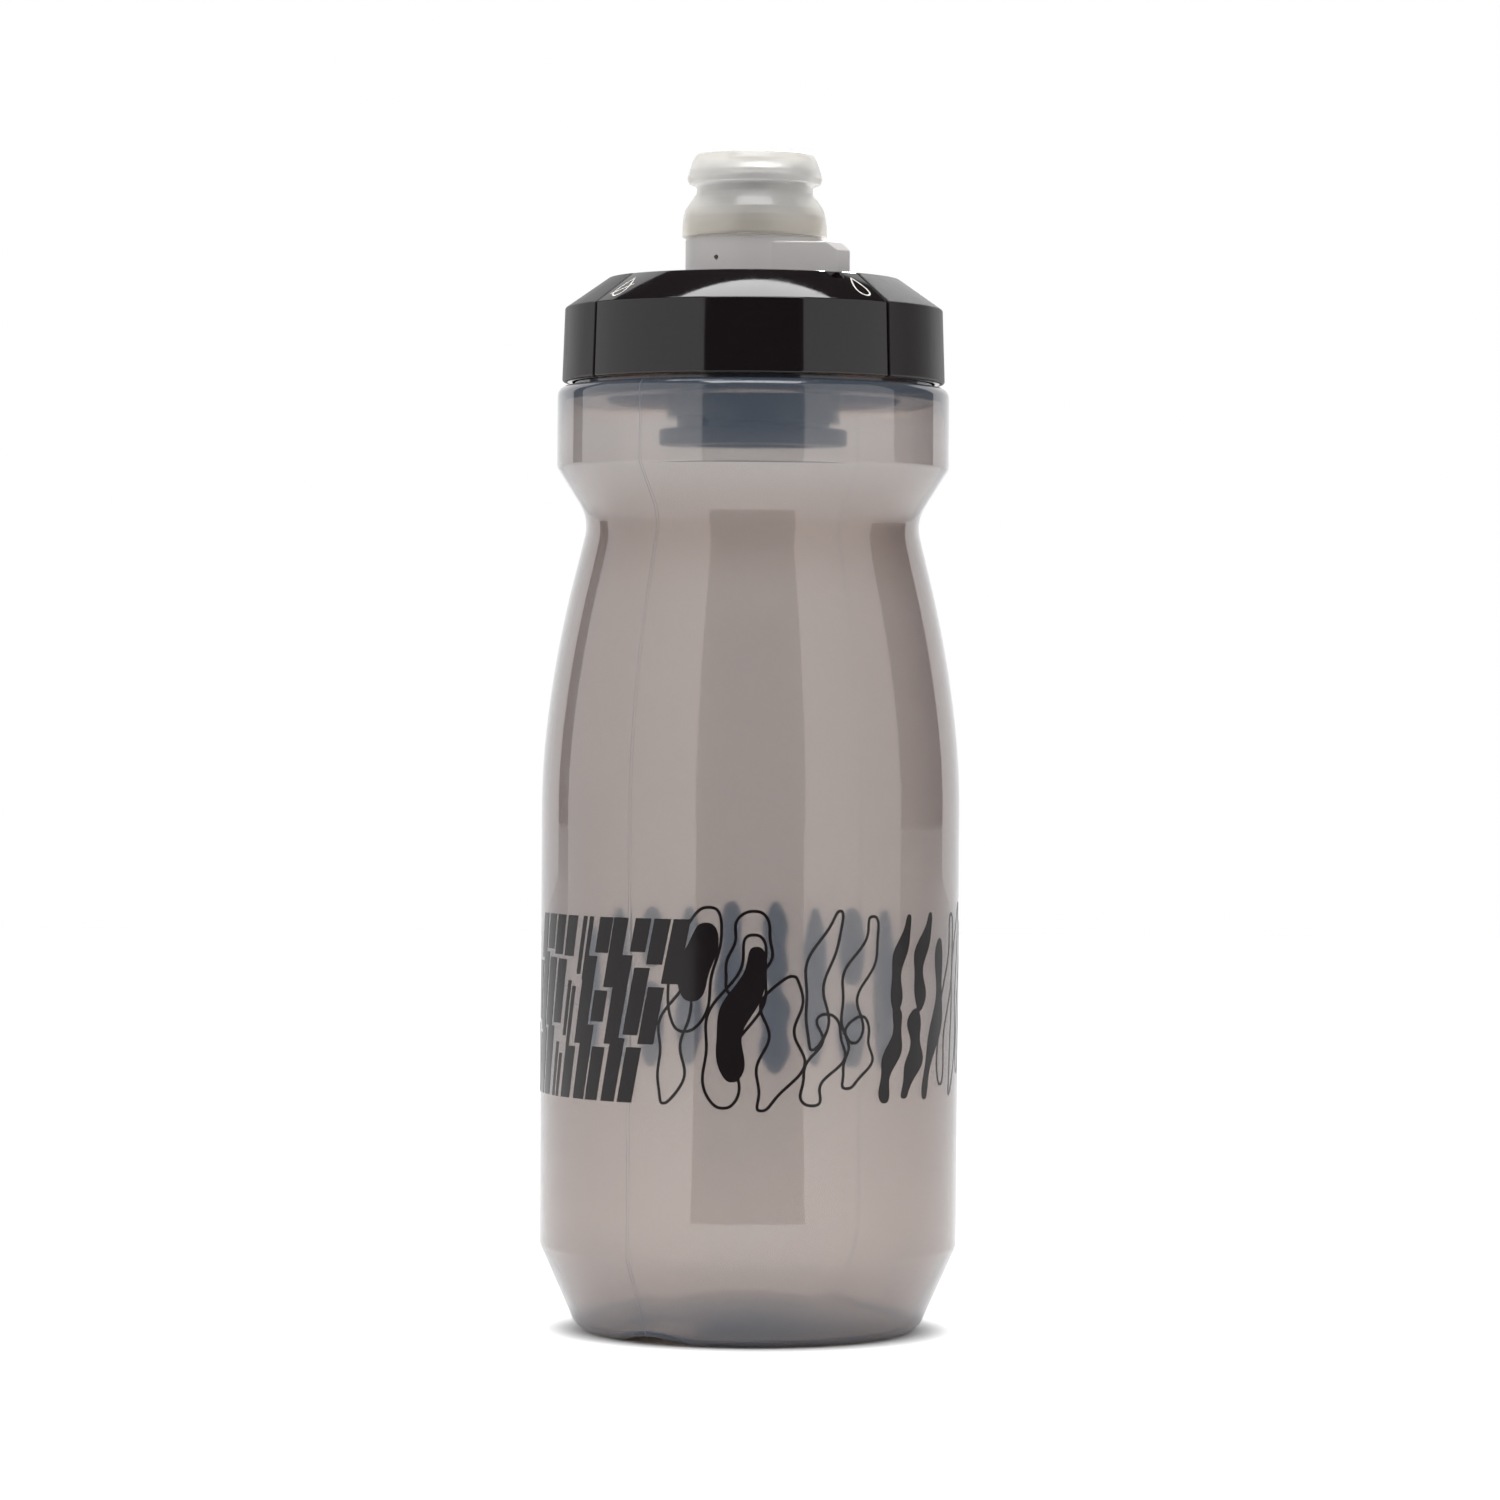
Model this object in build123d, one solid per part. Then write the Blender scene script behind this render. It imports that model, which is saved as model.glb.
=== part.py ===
"""Squeeze water bottle for a bicycle cage.

A blow-moulded bottle with a screw cap, a quarter-turn lockout dial on the cap and a self-sealing
silicone bite valve on the dial.  Sizes are millimetres.  +Z is up, and the origin is the centre of
the base on the plane that the bottle stands on.  -Y is the front.  An azimuth is an angle in degrees
from the front, positive towards +X.
"""

import os
from math import atan2, degrees, hypot

from build123d import *

# ---- Driving dimensions ---------------------------------------------------------------------------

# Bottle
BODY_R = 36.7
BODY_WALL = 1.1
BASE_R = 29.9
HEEL_FILLET = 4.0
BELT_Z = 15.2  # where the base's taper meets the straight side
SHOULDER_Z = 92.0
SHOULDER = [(34.8, 114.3), (31.7, 130.1), (29.75, 138.0)]
SHOULDER_SLOPE = (-0.24, 1.0)
WAIST = (28.72, 142.3)
WAIST_FILLET = 7.3
COLLAR_R = 34.4
COLLAR_Z = 151.4
COLLAR_TOP = 165.6
PUSH_UP_R = 23.5
PUSH_UP_HEIGHT = 5.0
CHANNEL_WIDTH = 14.0
CHANNEL_HEIGHT = 1.4
PARTING_AZIMUTH = -34.4

# Neck and its thread
NECK_R = 27.6
MOUTH_R = 25.9
LIP_Z = 178.2
BEAD_R = 31.4
BEAD_TOP = 166.4
THREAD_STARTS = 2
THREAD_LEAD = 9.0
THREAD_TURNS = 0.69
THREAD_ROOT_WIDTH = 2.2
THREAD_TIP_WIDTH = 1.1
THREAD_SINK = 0.5  # how far a thread's root goes into its wall
NECK_THREAD_TIP_R = 28.9
NECK_THREAD_Z = 169.3

# Cap
CAP_BOTTOM = 166.3
CAP_R = 33.6
CAP_EDGE = (33.15, 179.2)
CAP_TOP_EDGE = (25.6, 184.5)
CAP_SKIN = 1.7
CAP_FILLETS = (0.5, 0.45, 0.6)  # round the cap's bottom edge, then both edges of its sloping face
CAP_AZIMUTH = -5.7  # the middle of the glossy front panel
CAP_BORE_R = 29.3
CAP_THREAD_TIP_R = 28.0
THREAD_STEP = 1.8  # from the neck's thread down to the cap's, between their centre lines
CAP_THREAD_DROP = 0.9  # from where the neck's thread starts down to where the cap's starts
INNER_SKIRT_R = 30.5
INNER_SKIRT_BOTTOM = 167.2
POCKET_TOP = 177.6
SEAL_SEAT_Z = 180.0
PLUG_R = 25.2
PLUG_BOTTOM = 176.2
CAP_RIBS = 24
RIB_WIDTH = 0.9
GRIP_DEPTH = 0.9
GRIP_ANGLE = 80.0
SEAM_ANGLE = 0.85
SEAM_FILLET = 0.25
NOTCH_AZIMUTH = 32.0
NOTCH_TOP_WIDTH = 3.6
NOTCH_FLOOR_WIDTH = 2.2
NOTCH_DEPTH = 1.3

# Barrel under the cap, where the dial and its stem turn
BARREL_R = 15.2
BARREL_BOTTOM = 159.4
STEM_BORE_R = 13.9
SPIGOT_BORE_R = 11.5
PORT_PLATE = (172.0, 174.0)
POST_HOLE_R = 3.2
PORT_R = (4.2, 9.2)
PORT_ANGLE = 75.0
PORT_AZIMUTH = -6.0
WINDOW_TOP = 160.7

# Dial
DIAL_R = 12.1
DIAL_BOTTOM = 184.8
DIAL_TOP = 191.6
DIAL_SWEEP = 93.0
LEVER_AZIMUTH = 90.0
LEVER_REACH = 16.6
LEVER_WIDTH = 23.4
LEVER_Z = (184.95, 190.5)
LEVER_CORNER = 2.2  # cut off its two upright corners at 45 degrees
LEVER_CHAMFER = 1.5
LEVER_FILLET = 0.35
PINHOLE_AZIMUTH = -33.4
PINHOLE_Z = 187.7
PINHOLE_R = 0.45
BOSS_R = 11.0
BOSS_TOP = 195.6
NOZZLE_R = 8.4
NOZZLE_TOP = 203.2
NOZZLE_BEAD_R = 9.3
NOZZLE_BEAD = (200.9, 202.5)
NOZZLE_BORE_R = 6.6
SPIGOT_R = 11.2
SPIGOT_BORE = 9.6
SHUTTER = (175.0, 177.0)

# Stem under the dial
STEM_R = 13.4
STEM_INNER_R = 11.2
STEM_TOP = 171.7
SPIDER_THICKNESS = 1.9
FLANGE_R = 16.5
FLANGE = (154.9, 158.2)
POST_R = 2.9
POST_HEAD_R = 3.5
POST_TOP = 178.2
TOOTH_AZIMUTH = -40.0
TOOTH_ANGLE = 10.0
TOOTH_PLAY = 2.0

# Seals and the bite valve
SEAL_WALL_R = (25.5, 29.0)
SEAL_Z = (178.3, 179.85)
RING_SECTION_R = 0.8
RING_PLAY = 0.1
SPIGOT_RING_Z = 180.9
STEM_RING_Z = 166.0
SHUTTER_SEAL_TOP = 174.85
VALVE_BOTTOM = 191.8
VALVE_TOP = 206.6
VALVE_SKIRT = [(12.8, 191.8), (12.55, 194.8), (11.9, 197.2)]
VALVE_NECK = (10.25, 200.1)
VALVE_LIP = [(11.75, 201.1), (10.6, 205.6)]
VALVE_MOUTH_R = 8.2
VALVE_DISH_Z = 205.2
DIAPHRAGM = 1.0
SLIT = (7.0, 0.2)


# ---- Helpers --------------------------------------------------------------------------------------


def turned(outline, arc=360.0):
    """A solid of revolution about Z, from a closed outline of (radius, height)."""
    return revolve(Plane.XZ * make_face(outline), Axis.Z, revolution_arc=arc)


def ring(inner_r, outer_r, bottom, top):
    """A plain ring, or a disc where the inner radius is zero."""
    return turned(
        Polyline((inner_r, bottom), (outer_r, bottom), (outer_r, top), (inner_r, top), close=True)
    )


def at_azimuth(azimuth, shape):
    """Turns a shape that was made about +X so that it lies about an azimuth."""
    return Rot(0, 0, azimuth - 90.0) * shape


def sector(inner_r, outer_r, bottom, top, azimuth, angle):
    """Part of a ring, centred on an azimuth."""
    outline = Polyline(
        (inner_r, bottom), (outer_r, bottom), (outer_r, top), (inner_r, top), close=True
    )
    return at_azimuth(azimuth - angle / 2, turned(outline, angle))


def kidney_ports(bottom, top):
    """The two ports that the shutter's plates share, as solids to cut away."""
    turns = (PORT_AZIMUTH, PORT_AZIMUTH + 180.0)
    ports = [sector(*PORT_R, bottom, top, azimuth, PORT_ANGLE) for azimuth in turns]
    return ports[0] + ports[1]


def thread(wall_r, tip_r, start_z, start_angle):
    """One start of a right-hand thread, from inside its wall to its tip."""
    sink = THREAD_SINK if wall_r < tip_r else -THREAD_SINK
    path = Helix(THREAD_LEAD, THREAD_LEAD * THREAD_TURNS, wall_r, center=(0, 0, start_z))
    half_root = THREAD_ROOT_WIDTH / 2
    half_tip = THREAD_TIP_WIDTH / 2
    outline = Polyline(
        (wall_r - sink, start_z - half_root),
        (wall_r, start_z - half_root),
        (tip_r, start_z - half_tip),
        (tip_r, start_z + half_tip),
        (wall_r, start_z + half_root),
        (wall_r - sink, start_z + half_root),
        close=True,
    )
    section = Plane.XZ * make_face(outline)
    return Rot(0, 0, start_angle) * sweep(section, path=path, is_frenet=True)


def o_ring(bore_r, z):
    """An O-ring that stands just clear of the bore that it seals."""
    return Pos(0, 0, z) * Torus(bore_r - RING_PLAY - RING_SECTION_R, RING_SECTION_R)


def o_ring_groove(bore_r, wall_r, z):
    """The groove for that O-ring, as a solid to cut away."""
    floor_r = bore_r - RING_PLAY - 2 * RING_SECTION_R - 0.05
    half = RING_SECTION_R + RING_PLAY
    return ring(floor_r, wall_r + 1.0, z - half, z + half)


# ---- Bottle ---------------------------------------------------------------------------------------


def bottle_form(wall):
    """The bottle without its neck: the outside where wall is 0, else the cavity inside that wall."""
    belt_r = BODY_R - wall
    foot = FilletPolyline(
        (0, wall),
        (BASE_R - wall, wall),
        (belt_r, BELT_Z),
        (belt_r, SHOULDER_Z),
        radius=[HEEL_FILLET - wall, 2.5],
    )
    shoulder_points = [(r - wall, z) for r, z in [(BODY_R, SHOULDER_Z), *SHOULDER]]
    shoulder = Spline(*shoulder_points, tangents=[(0, 1), SHOULDER_SLOPE])
    waist_r, waist_z = WAIST
    collar = FilletPolyline(
        shoulder_points[-1],
        (waist_r - wall, waist_z),
        (COLLAR_R - wall, COLLAR_Z),
        (COLLAR_R - wall, COLLAR_TOP - wall),
        (0, COLLAR_TOP - wall),
        radius=[WAIST_FILLET + wall, 1.0, 1.8],
    )
    axis = Line((0, COLLAR_TOP - wall), (0, wall))
    form = turned(foot + shoulder + collar + axis)

    push_up_r = (PUSH_UP_R**2 + PUSH_UP_HEIGHT**2) / (2 * PUSH_UP_HEIGHT)
    push_up = Pos(0, 0, PUSH_UP_HEIGHT - push_up_r) * Sphere(push_up_r + wall)
    half = CHANNEL_WIDTH / 2
    channel_r = (half**2 + CHANNEL_HEIGHT**2) / (2 * CHANNEL_HEIGHT)
    channel = Rot(0, 90, 0) * Cylinder(channel_r + wall, 2.5 * BODY_R)
    channel = Pos(0, 0, CHANNEL_HEIGHT - channel_r) * at_azimuth(PARTING_AZIMUTH, channel)
    return form - push_up - channel


def bottle_body():
    """The translucent squeeze bottle, with its threaded neck."""
    cavity_top = COLLAR_TOP - BODY_WALL
    neck_outline = FilletPolyline(
        (0, cavity_top), (NECK_R, cavity_top), (NECK_R, LIP_Z), (0, LIP_Z), radius=[0.2, 0.6]
    )
    body = bottle_form(0.0) + turned(neck_outline + Line((0, LIP_Z), (0, cavity_top)))
    body += ring(0, BEAD_R, cavity_top, BEAD_TOP)
    for start in range(THREAD_STARTS):
        body += thread(NECK_R, NECK_THREAD_TIP_R, NECK_THREAD_Z, start * 360.0 / THREAD_STARTS)
    bore = ring(0, MOUTH_R, cavity_top - 0.5, LIP_Z + 1.0)
    return body - bottle_form(BODY_WALL) - bore


# ---- Cap ------------------------------------------------------------------------------------------


def cap_outside(start_r, *more):
    """The cap's outer outline, from a radius on its bottom face up to its roof and on to more points."""
    corners = ((start_r, CAP_BOTTOM), (CAP_R, CAP_BOTTOM), CAP_EDGE, CAP_TOP_EDGE, *more)
    return FilletPolyline(*corners, radius=CAP_FILLETS[: len(corners) - 2])


def grip_outline():
    """Cross-section of a grip, and of the pocket that holds it."""
    edge_r, edge_z = CAP_EDGE
    top_r, top_z = CAP_TOP_EDGE
    slope = (top_z - edge_z) / (edge_r - top_r)
    drop = GRIP_DEPTH * (1 + slope**2) ** 0.5  # the skin's depth, measured straight down
    corner_r = edge_r - GRIP_DEPTH
    corner_z = top_z - drop - slope * (corner_r - top_r)
    start_r = CAP_R - GRIP_DEPTH
    inside = Polyline(
        CAP_TOP_EDGE, (top_r, top_z - drop), (corner_r, corner_z), (start_r, CAP_BOTTOM)
    )
    return cap_outside(start_r) + inside


def seam_edges(shape):
    """The edges on the cap's outside that run up it, where a grip meets a glossy panel."""
    roof = (SPIGOT_BORE_R, CAP_TOP_EDGE[1])
    outside = Plane.XZ * cap_outside(CAP_R - 1.1 * CAP_FILLETS[0], roof)

    def runs_up_outside(edge):
        ends = [degrees(atan2(point.Y, point.X)) for point in (edge @ 0, edge @ 1)]
        middle = edge @ 0.5
        flat = Vertex(hypot(middle.X, middle.Y), 0, middle.Z)
        return abs(ends[0] - ends[1]) < 0.01 and outside.distance_to(flat) < 0.01

    return shape.edges().filter_by(runs_up_outside)


def grip_sector(side, angle):
    """The grip's plain form on one side, 1 for the right and -1 for the left, over an angle."""
    middle = CAP_AZIMUTH + 90.0 * side
    return at_azimuth(middle - angle / 2, turned(grip_outline(), angle))


def cap_grip(side):
    """The matte grip on one side, rounded along its two seams."""
    grip = grip_sector(side, GRIP_ANGLE)
    return fillet(seam_edges(grip), SEAM_FILLET)


def cap_form():
    """The cap turned about its axis, before its ribs, ports, pockets and threads."""
    plate_bottom, plate_top = PORT_PLATE
    roof_z = CAP_TOP_EDGE[1] - CAP_SKIN
    skirt_r = CAP_R - CAP_SKIN
    roof = (SPIGOT_BORE_R, CAP_TOP_EDGE[1])
    inside = Polyline(
        roof,
        (SPIGOT_BORE_R, plate_top),
        (POST_HOLE_R, plate_top),
        (POST_HOLE_R, plate_bottom),
        (STEM_BORE_R, plate_bottom),
        (STEM_BORE_R, BARREL_BOTTOM),
        (BARREL_R, BARREL_BOTTOM),
        (BARREL_R, roof_z),
        (PLUG_R - 1.0, roof_z),
        (PLUG_R - 1.0, PLUG_BOTTOM),
        (PLUG_R, PLUG_BOTTOM),
        (PLUG_R, SEAL_SEAT_Z),
        (CAP_BORE_R, SEAL_SEAT_Z),
        (CAP_BORE_R, INNER_SKIRT_BOTTOM),
        (INNER_SKIRT_R, INNER_SKIRT_BOTTOM),
        (INNER_SKIRT_R, POCKET_TOP),
        (skirt_r, POCKET_TOP),
        (skirt_r, CAP_BOTTOM),
    )
    return turned(cap_outside(skirt_r, roof) + inside)


def cap_rib(azimuth):
    """One rib between the cap's two skirts."""
    length = CAP_R - CAP_SKIN - INNER_SKIRT_R + 0.6
    height = POCKET_TOP - INNER_SKIRT_BOTTOM + 0.2
    middle_r = (CAP_R - CAP_SKIN + INNER_SKIRT_R) / 2
    rib = Pos(middle_r, 0, INNER_SKIRT_BOTTOM + height / 2) * Box(length, RIB_WIDTH, height)
    return at_azimuth(azimuth, rib)


def notch():
    """The notch in the cap's top edge by the open mark, as a solid to cut away."""
    top_r, top_z = CAP_TOP_EDGE
    half_top = NOTCH_TOP_WIDTH / 2
    half_floor = NOTCH_FLOOR_WIDTH / 2
    outline = Polyline(
        (-half_top, top_z + 0.01),
        (half_top, top_z + 0.01),
        (half_floor, top_z - NOTCH_DEPTH),
        (-half_floor, top_z - NOTCH_DEPTH),
        close=True,
    )
    prism = extrude(Plane.YZ * make_face(outline), 5.0)
    return at_azimuth(NOTCH_AZIMUTH, Pos(top_r - 1.2, 0, 0) * prism)


def cap_shell():
    """The glossy cap: outer and threaded skirts, roof, and the barrel that the dial turns in."""
    cap = cap_form()
    for side in (-1, 1):
        cap -= grip_sector(side, GRIP_ANGLE + 2 * SEAM_ANGLE)
    cap = fillet(seam_edges(cap), SEAM_FILLET)
    for index in range(CAP_RIBS):
        cap += cap_rib(CAP_AZIMUTH + (index + 0.5) * 360.0 / CAP_RIBS)
    cap -= kidney_ports(PORT_PLATE[0] - 1, PORT_PLATE[1] + 0.5)
    cap -= notch()
    window_angle = DIAL_SWEEP + TOOTH_ANGLE + 2 * TOOTH_PLAY
    window_middle = TOOTH_AZIMUTH - DIAL_SWEEP / 2
    cap -= sector(
        STEM_BORE_R - 0.5, BARREL_R + 0.5, BARREL_BOTTOM - 1, WINDOW_TOP, window_middle, window_angle
    )
    start_z = NECK_THREAD_Z - CAP_THREAD_DROP
    lag = (THREAD_STEP - CAP_THREAD_DROP) * 360.0 / THREAD_LEAD
    for start in range(THREAD_STARTS):
        angle = lag + start * 360.0 / THREAD_STARTS
        cap += thread(CAP_BORE_R, CAP_THREAD_TIP_R, start_z, angle)
    return cap


def cap_seal():
    """The silicone ring that the cap presses on the neck's lip."""
    return ring(*SEAL_WALL_R, *SEAL_Z)


def shutter_seal():
    """The silicone face seal between the cap's port plate and the dial's shutter."""
    pad = ring(POST_HOLE_R, SPIGOT_R, PORT_PLATE[1], SHUTTER_SEAL_TOP)
    return pad - kidney_ports(PORT_PLATE[1] - 1, SHUTTER_SEAL_TOP + 1)


# ---- Dial -----------------------------------------------------------------------------------------


def lever():
    """The paddle on the dial's side, its corners cut off and its end chamfered along the top."""
    bottom, top = LEVER_Z
    half = LEVER_WIDTH / 2
    shoulder = LEVER_REACH - LEVER_CORNER
    outline = Polyline(
        (0, -half),
        (shoulder, -half),
        (LEVER_REACH, LEVER_CORNER - half),
        (LEVER_REACH, half - LEVER_CORNER),
        (shoulder, half),
        (0, half),
        close=True,
    )
    paddle = Pos(0, 0, bottom) * extrude(make_face(outline), top - bottom)
    rim = paddle.edges().filter_by(lambda edge: edge.center().Z > top - 0.01)
    paddle = chamfer(rim.filter_by(lambda edge: edge.center().X > shoulder), LEVER_CHAMFER)
    edges = paddle.edges().filter_by(lambda edge: edge.center().X > 0.1)
    return at_azimuth(LEVER_AZIMUTH, fillet(edges, LEVER_FILLET))


def dial_lever():
    """The grey dial: lever, nozzle for the bite valve, and the spigot with its shutter."""
    base = turned(
        FilletPolyline(
            (0, DIAL_BOTTOM),
            (DIAL_R, DIAL_BOTTOM),
            (DIAL_R, DIAL_TOP),
            (0, DIAL_TOP),
            radius=[0.3, 0.5],
        )
        + Line((0, DIAL_TOP), (0, DIAL_BOTTOM))
    )
    dial = base + lever()
    dial += ring(0, BOSS_R, DIAL_TOP - 0.5, BOSS_TOP)
    dial += ring(0, NOZZLE_R, BOSS_TOP - 0.5, NOZZLE_TOP)
    dial += ring(NOZZLE_R - 0.5, NOZZLE_BEAD_R, *NOZZLE_BEAD)
    dial += ring(0, SPIGOT_R, SHUTTER[0], DIAL_BOTTOM + 0.5)
    dial -= ring(0, NOZZLE_BORE_R, DIAL_BOTTOM, NOZZLE_TOP + 1)
    dial -= ring(0, SPIGOT_BORE, SHUTTER[1], DIAL_TOP - 1.6)
    dial -= ring(0, POST_R, SHUTTER[0] - 1, SHUTTER[1] + 1)
    dial -= kidney_ports(SHUTTER[0] - 1, SHUTTER[1] + 0.5)
    dial -= o_ring_groove(SPIGOT_BORE_R, SPIGOT_R, SPIGOT_RING_Z)
    pinhole = Rot(0, 90, 0) * Cylinder(PINHOLE_R, 3.0)
    dial -= Pos(0, 0, PINHOLE_Z) * at_azimuth(PINHOLE_AZIMUTH, Pos(DIAL_R, 0, 0) * pinhole)
    return dial


def valve_stem():
    """The dark stem that holds the dial from below and turns with it inside the barrel."""
    flange_bottom, flange_top = FLANGE
    spider_bottom = STEM_TOP - SPIDER_THICKNESS
    stem = ring(STEM_INNER_R, STEM_R, flange_bottom, STEM_TOP)
    flange = ring(STEM_INNER_R, FLANGE_R, flange_bottom, flange_top)
    rims = flange.edges().filter_by(GeomType.CIRCLE)
    rims = rims.filter_by(lambda edge: edge.radius > FLANGE_R - 0.1)
    stem += fillet(rims, 0.6)
    stem += ring(0, STEM_R, spider_bottom, STEM_TOP)
    stem -= kidney_ports(spider_bottom - 1, STEM_TOP + 1)
    stem += ring(0, POST_R, spider_bottom, SHUTTER[1])
    stem += ring(0, POST_HEAD_R, SHUTTER[1], POST_TOP)
    stem += sector(
        STEM_R - 0.5, BARREL_R, flange_top - 0.5, WINDOW_TOP - 0.3, TOOTH_AZIMUTH, TOOTH_ANGLE
    )
    return stem - o_ring_groove(STEM_BORE_R, STEM_R, STEM_RING_Z)


def bite_valve():
    """The silicone mouthpiece, with a dished diaphragm that is slit crosswise."""
    lip_bottom, lip_top = VALVE_LIP
    skirt = Spline(*VALVE_SKIRT, VALVE_NECK, tangents=[(-0.05, 1), (-0.5, 1)])
    neck = Polyline(VALVE_NECK, (VALVE_NECK[0] + 0.15, lip_bottom[1] - 0.2), lip_bottom)
    lip = FilletPolyline(
        lip_bottom,
        (lip_bottom[0] + 0.05, lip_bottom[1] + 1.0),
        lip_top,
        (VALVE_MOUTH_R + 1.2, VALVE_TOP),
        (VALVE_MOUTH_R, VALVE_TOP),
        radius=[0.6, 1.0, 1.0],
    )
    dish = ThreePointArc(
        (VALVE_MOUTH_R, VALVE_TOP),
        (VALVE_MOUTH_R / 2, VALVE_DISH_Z + 0.4),
        (0, VALVE_DISH_Z),
    )
    inside = Polyline(
        (0, VALVE_DISH_Z),
        (0, VALVE_DISH_Z - DIAPHRAGM),
        (NOZZLE_R, VALVE_DISH_Z - DIAPHRAGM),
        (NOZZLE_R, NOZZLE_BEAD[1]),
        (NOZZLE_BEAD_R, NOZZLE_BEAD[1]),
        (NOZZLE_BEAD_R, NOZZLE_BEAD[0]),
        (NOZZLE_R, NOZZLE_BEAD[0]),
        (NOZZLE_R, BOSS_TOP),
        (BOSS_R, BOSS_TOP),
        (BOSS_R, VALVE_BOTTOM),
        VALVE_SKIRT[0],
    )
    valve = turned(skirt + neck + lip + dish + inside)
    length, width = SLIT
    for turn in (0.0, 90.0):
        slit = Pos(0, 0, VALVE_DISH_Z) * Box(length, width, 4 * DIAPHRAGM)
        valve -= at_azimuth(CAP_AZIMUTH + turn, slit)
    return valve


# ---- Export ---------------------------------------------------------------------------------------

PARTS = {
    "bottle_body": bottle_body(),
    "cap_seal": cap_seal(),
    "cap_shell": cap_shell(),
    "cap_grip_left": cap_grip(-1),
    "cap_grip_right": cap_grip(1),
    "shutter_seal": shutter_seal(),
    "dial_lever": dial_lever(),
    "valve_stem": valve_stem(),
    "spigot_o_ring": o_ring(SPIGOT_BORE_R, SPIGOT_RING_Z),
    "stem_o_ring": o_ring(STEM_BORE_R, STEM_RING_Z),
    "bite_valve": bite_valve(),
}

os.makedirs("parts", exist_ok=True)
for name, part in PARTS.items():
    export_step(part, f"parts/{name}.step")
    print(name, len(part.solids()), "solid, volume", round(part.volume), "mm3")
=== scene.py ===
# %% [markdown]
# # A squeeze bottle for a bicycle
#
# The bottle is a translucent blow-moulded body, a black screw cap with matte grips, a grey dial with
# a lever, and a milky silicone bite valve.  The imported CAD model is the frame: it says how large every
# part is and where it sits.  This lesson gives each part the finish that the real one has, and makes
# again the parts whose looks a plain CAD solid can't carry.  Sizes are written in millimetres and
# multiplied by MM, because Blender works in metres.  An azimuth is an angle in degrees from the front,
# which is -Y, towards +X.

# %% Load the frame
import math

import bpy
import numpy as np
from mathutils import Matrix, Vector
from mathutils.geometry import delaunay_2d_cdt


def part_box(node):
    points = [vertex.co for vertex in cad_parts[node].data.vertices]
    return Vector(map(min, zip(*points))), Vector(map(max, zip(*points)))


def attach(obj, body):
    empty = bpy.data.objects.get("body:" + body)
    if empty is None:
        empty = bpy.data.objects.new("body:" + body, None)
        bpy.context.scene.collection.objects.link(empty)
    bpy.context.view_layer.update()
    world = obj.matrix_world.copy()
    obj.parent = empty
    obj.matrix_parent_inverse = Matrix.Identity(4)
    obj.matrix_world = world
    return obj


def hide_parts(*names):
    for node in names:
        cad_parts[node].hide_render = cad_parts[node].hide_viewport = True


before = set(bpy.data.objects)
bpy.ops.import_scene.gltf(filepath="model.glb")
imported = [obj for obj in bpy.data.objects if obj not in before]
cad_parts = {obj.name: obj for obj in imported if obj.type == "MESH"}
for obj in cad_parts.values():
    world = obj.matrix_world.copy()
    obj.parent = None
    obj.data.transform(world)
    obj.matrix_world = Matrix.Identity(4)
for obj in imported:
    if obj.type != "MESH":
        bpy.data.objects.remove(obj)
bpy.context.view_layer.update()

MM = 0.001
scene = bpy.context.scene

# %% [markdown]
# ## Helpers for making a piece
#
# Every piece is a mesh that sits where its own coordinates say, with its object at the origin.
# `new_piece` makes one, shades it smooth, and keeps the edges sharp that turn by more than an angle.


# %% Make a piece from points and faces
def new_piece(name, points, faces, sharp_angle=35.0):
    """A mesh object from points in metres, smooth but for its sharp edges."""
    mesh = bpy.data.meshes.new(name)
    mesh.from_pydata(points, [], faces)
    mesh.validate()
    piece = bpy.data.objects.new(name, mesh)
    scene.collection.objects.link(piece)
    smooth(mesh, sharp_angle)
    return piece


def smooth(mesh, sharp_angle):
    """Shades a mesh smooth, but for the edges that turn by more than an angle in degrees."""
    mesh.shade_smooth()
    mesh.set_sharp_from_angle(angle=math.radians(sharp_angle))


def describe(piece):
    """Prints how fine a piece's mesh is, and how large."""
    mesh = piece.data
    mesh.calc_loop_triangles()
    spots = np.array([point.co for point in mesh.vertices]) / MM
    low, high = spots.min(0).round(1), spots.max(0).round(1)
    print(f"{piece.name}: {len(mesh.loop_triangles)} triangles, from {low} to {high} mm")


# %% [markdown]
# ## Outlines
#
# Everything round on this bottle starts as half a cross-section: a list of (radius, height) corners,
# some of them rounded.  `rounded` swaps each corner for an arc that touches both of its lines, which is
# what a mould maker does with a corner radius.  `soft_curve` runs one smooth cubic through a few
# points, for the shoulder, where the outline has no straight stretch at all.


# %% Rounded corners and soft curves
def rounded(corners, step_degrees=7.5):
    """Points along a run of (r, z, corner radius), with an arc at each corner that has a radius."""
    points = [Vector(corners[0][:2])]
    for before, corner, after in zip(corners, corners[1:], corners[2:]):
        here, radius = Vector(corner[:2]), corner[2]
        back = (Vector(before[:2]) - here).normalized()
        ahead = (Vector(after[:2]) - here).normalized()
        half_angle = back.angle(ahead) / 2
        turn = math.pi - 2 * half_angle
        if radius == 0 or turn < 1e-4:
            points.append(here)
            continue
        reach = radius / math.tan(half_angle)
        centre = here + (back + ahead).normalized() * radius / math.sin(half_angle)
        start = here + back * reach - centre
        side = 1 if back.x * ahead.y - back.y * ahead.x < 0 else -1
        steps = max(2, math.ceil(math.degrees(turn) / step_degrees))
        for step in range(steps + 1):
            angle = side * turn * step / steps
            cos, sin = math.cos(angle), math.sin(angle)
            points.append(centre + Vector((cos * start.x - sin * start.y, sin * start.x + cos * start.y)))
    return points + [Vector(corners[-1][:2])]


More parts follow.
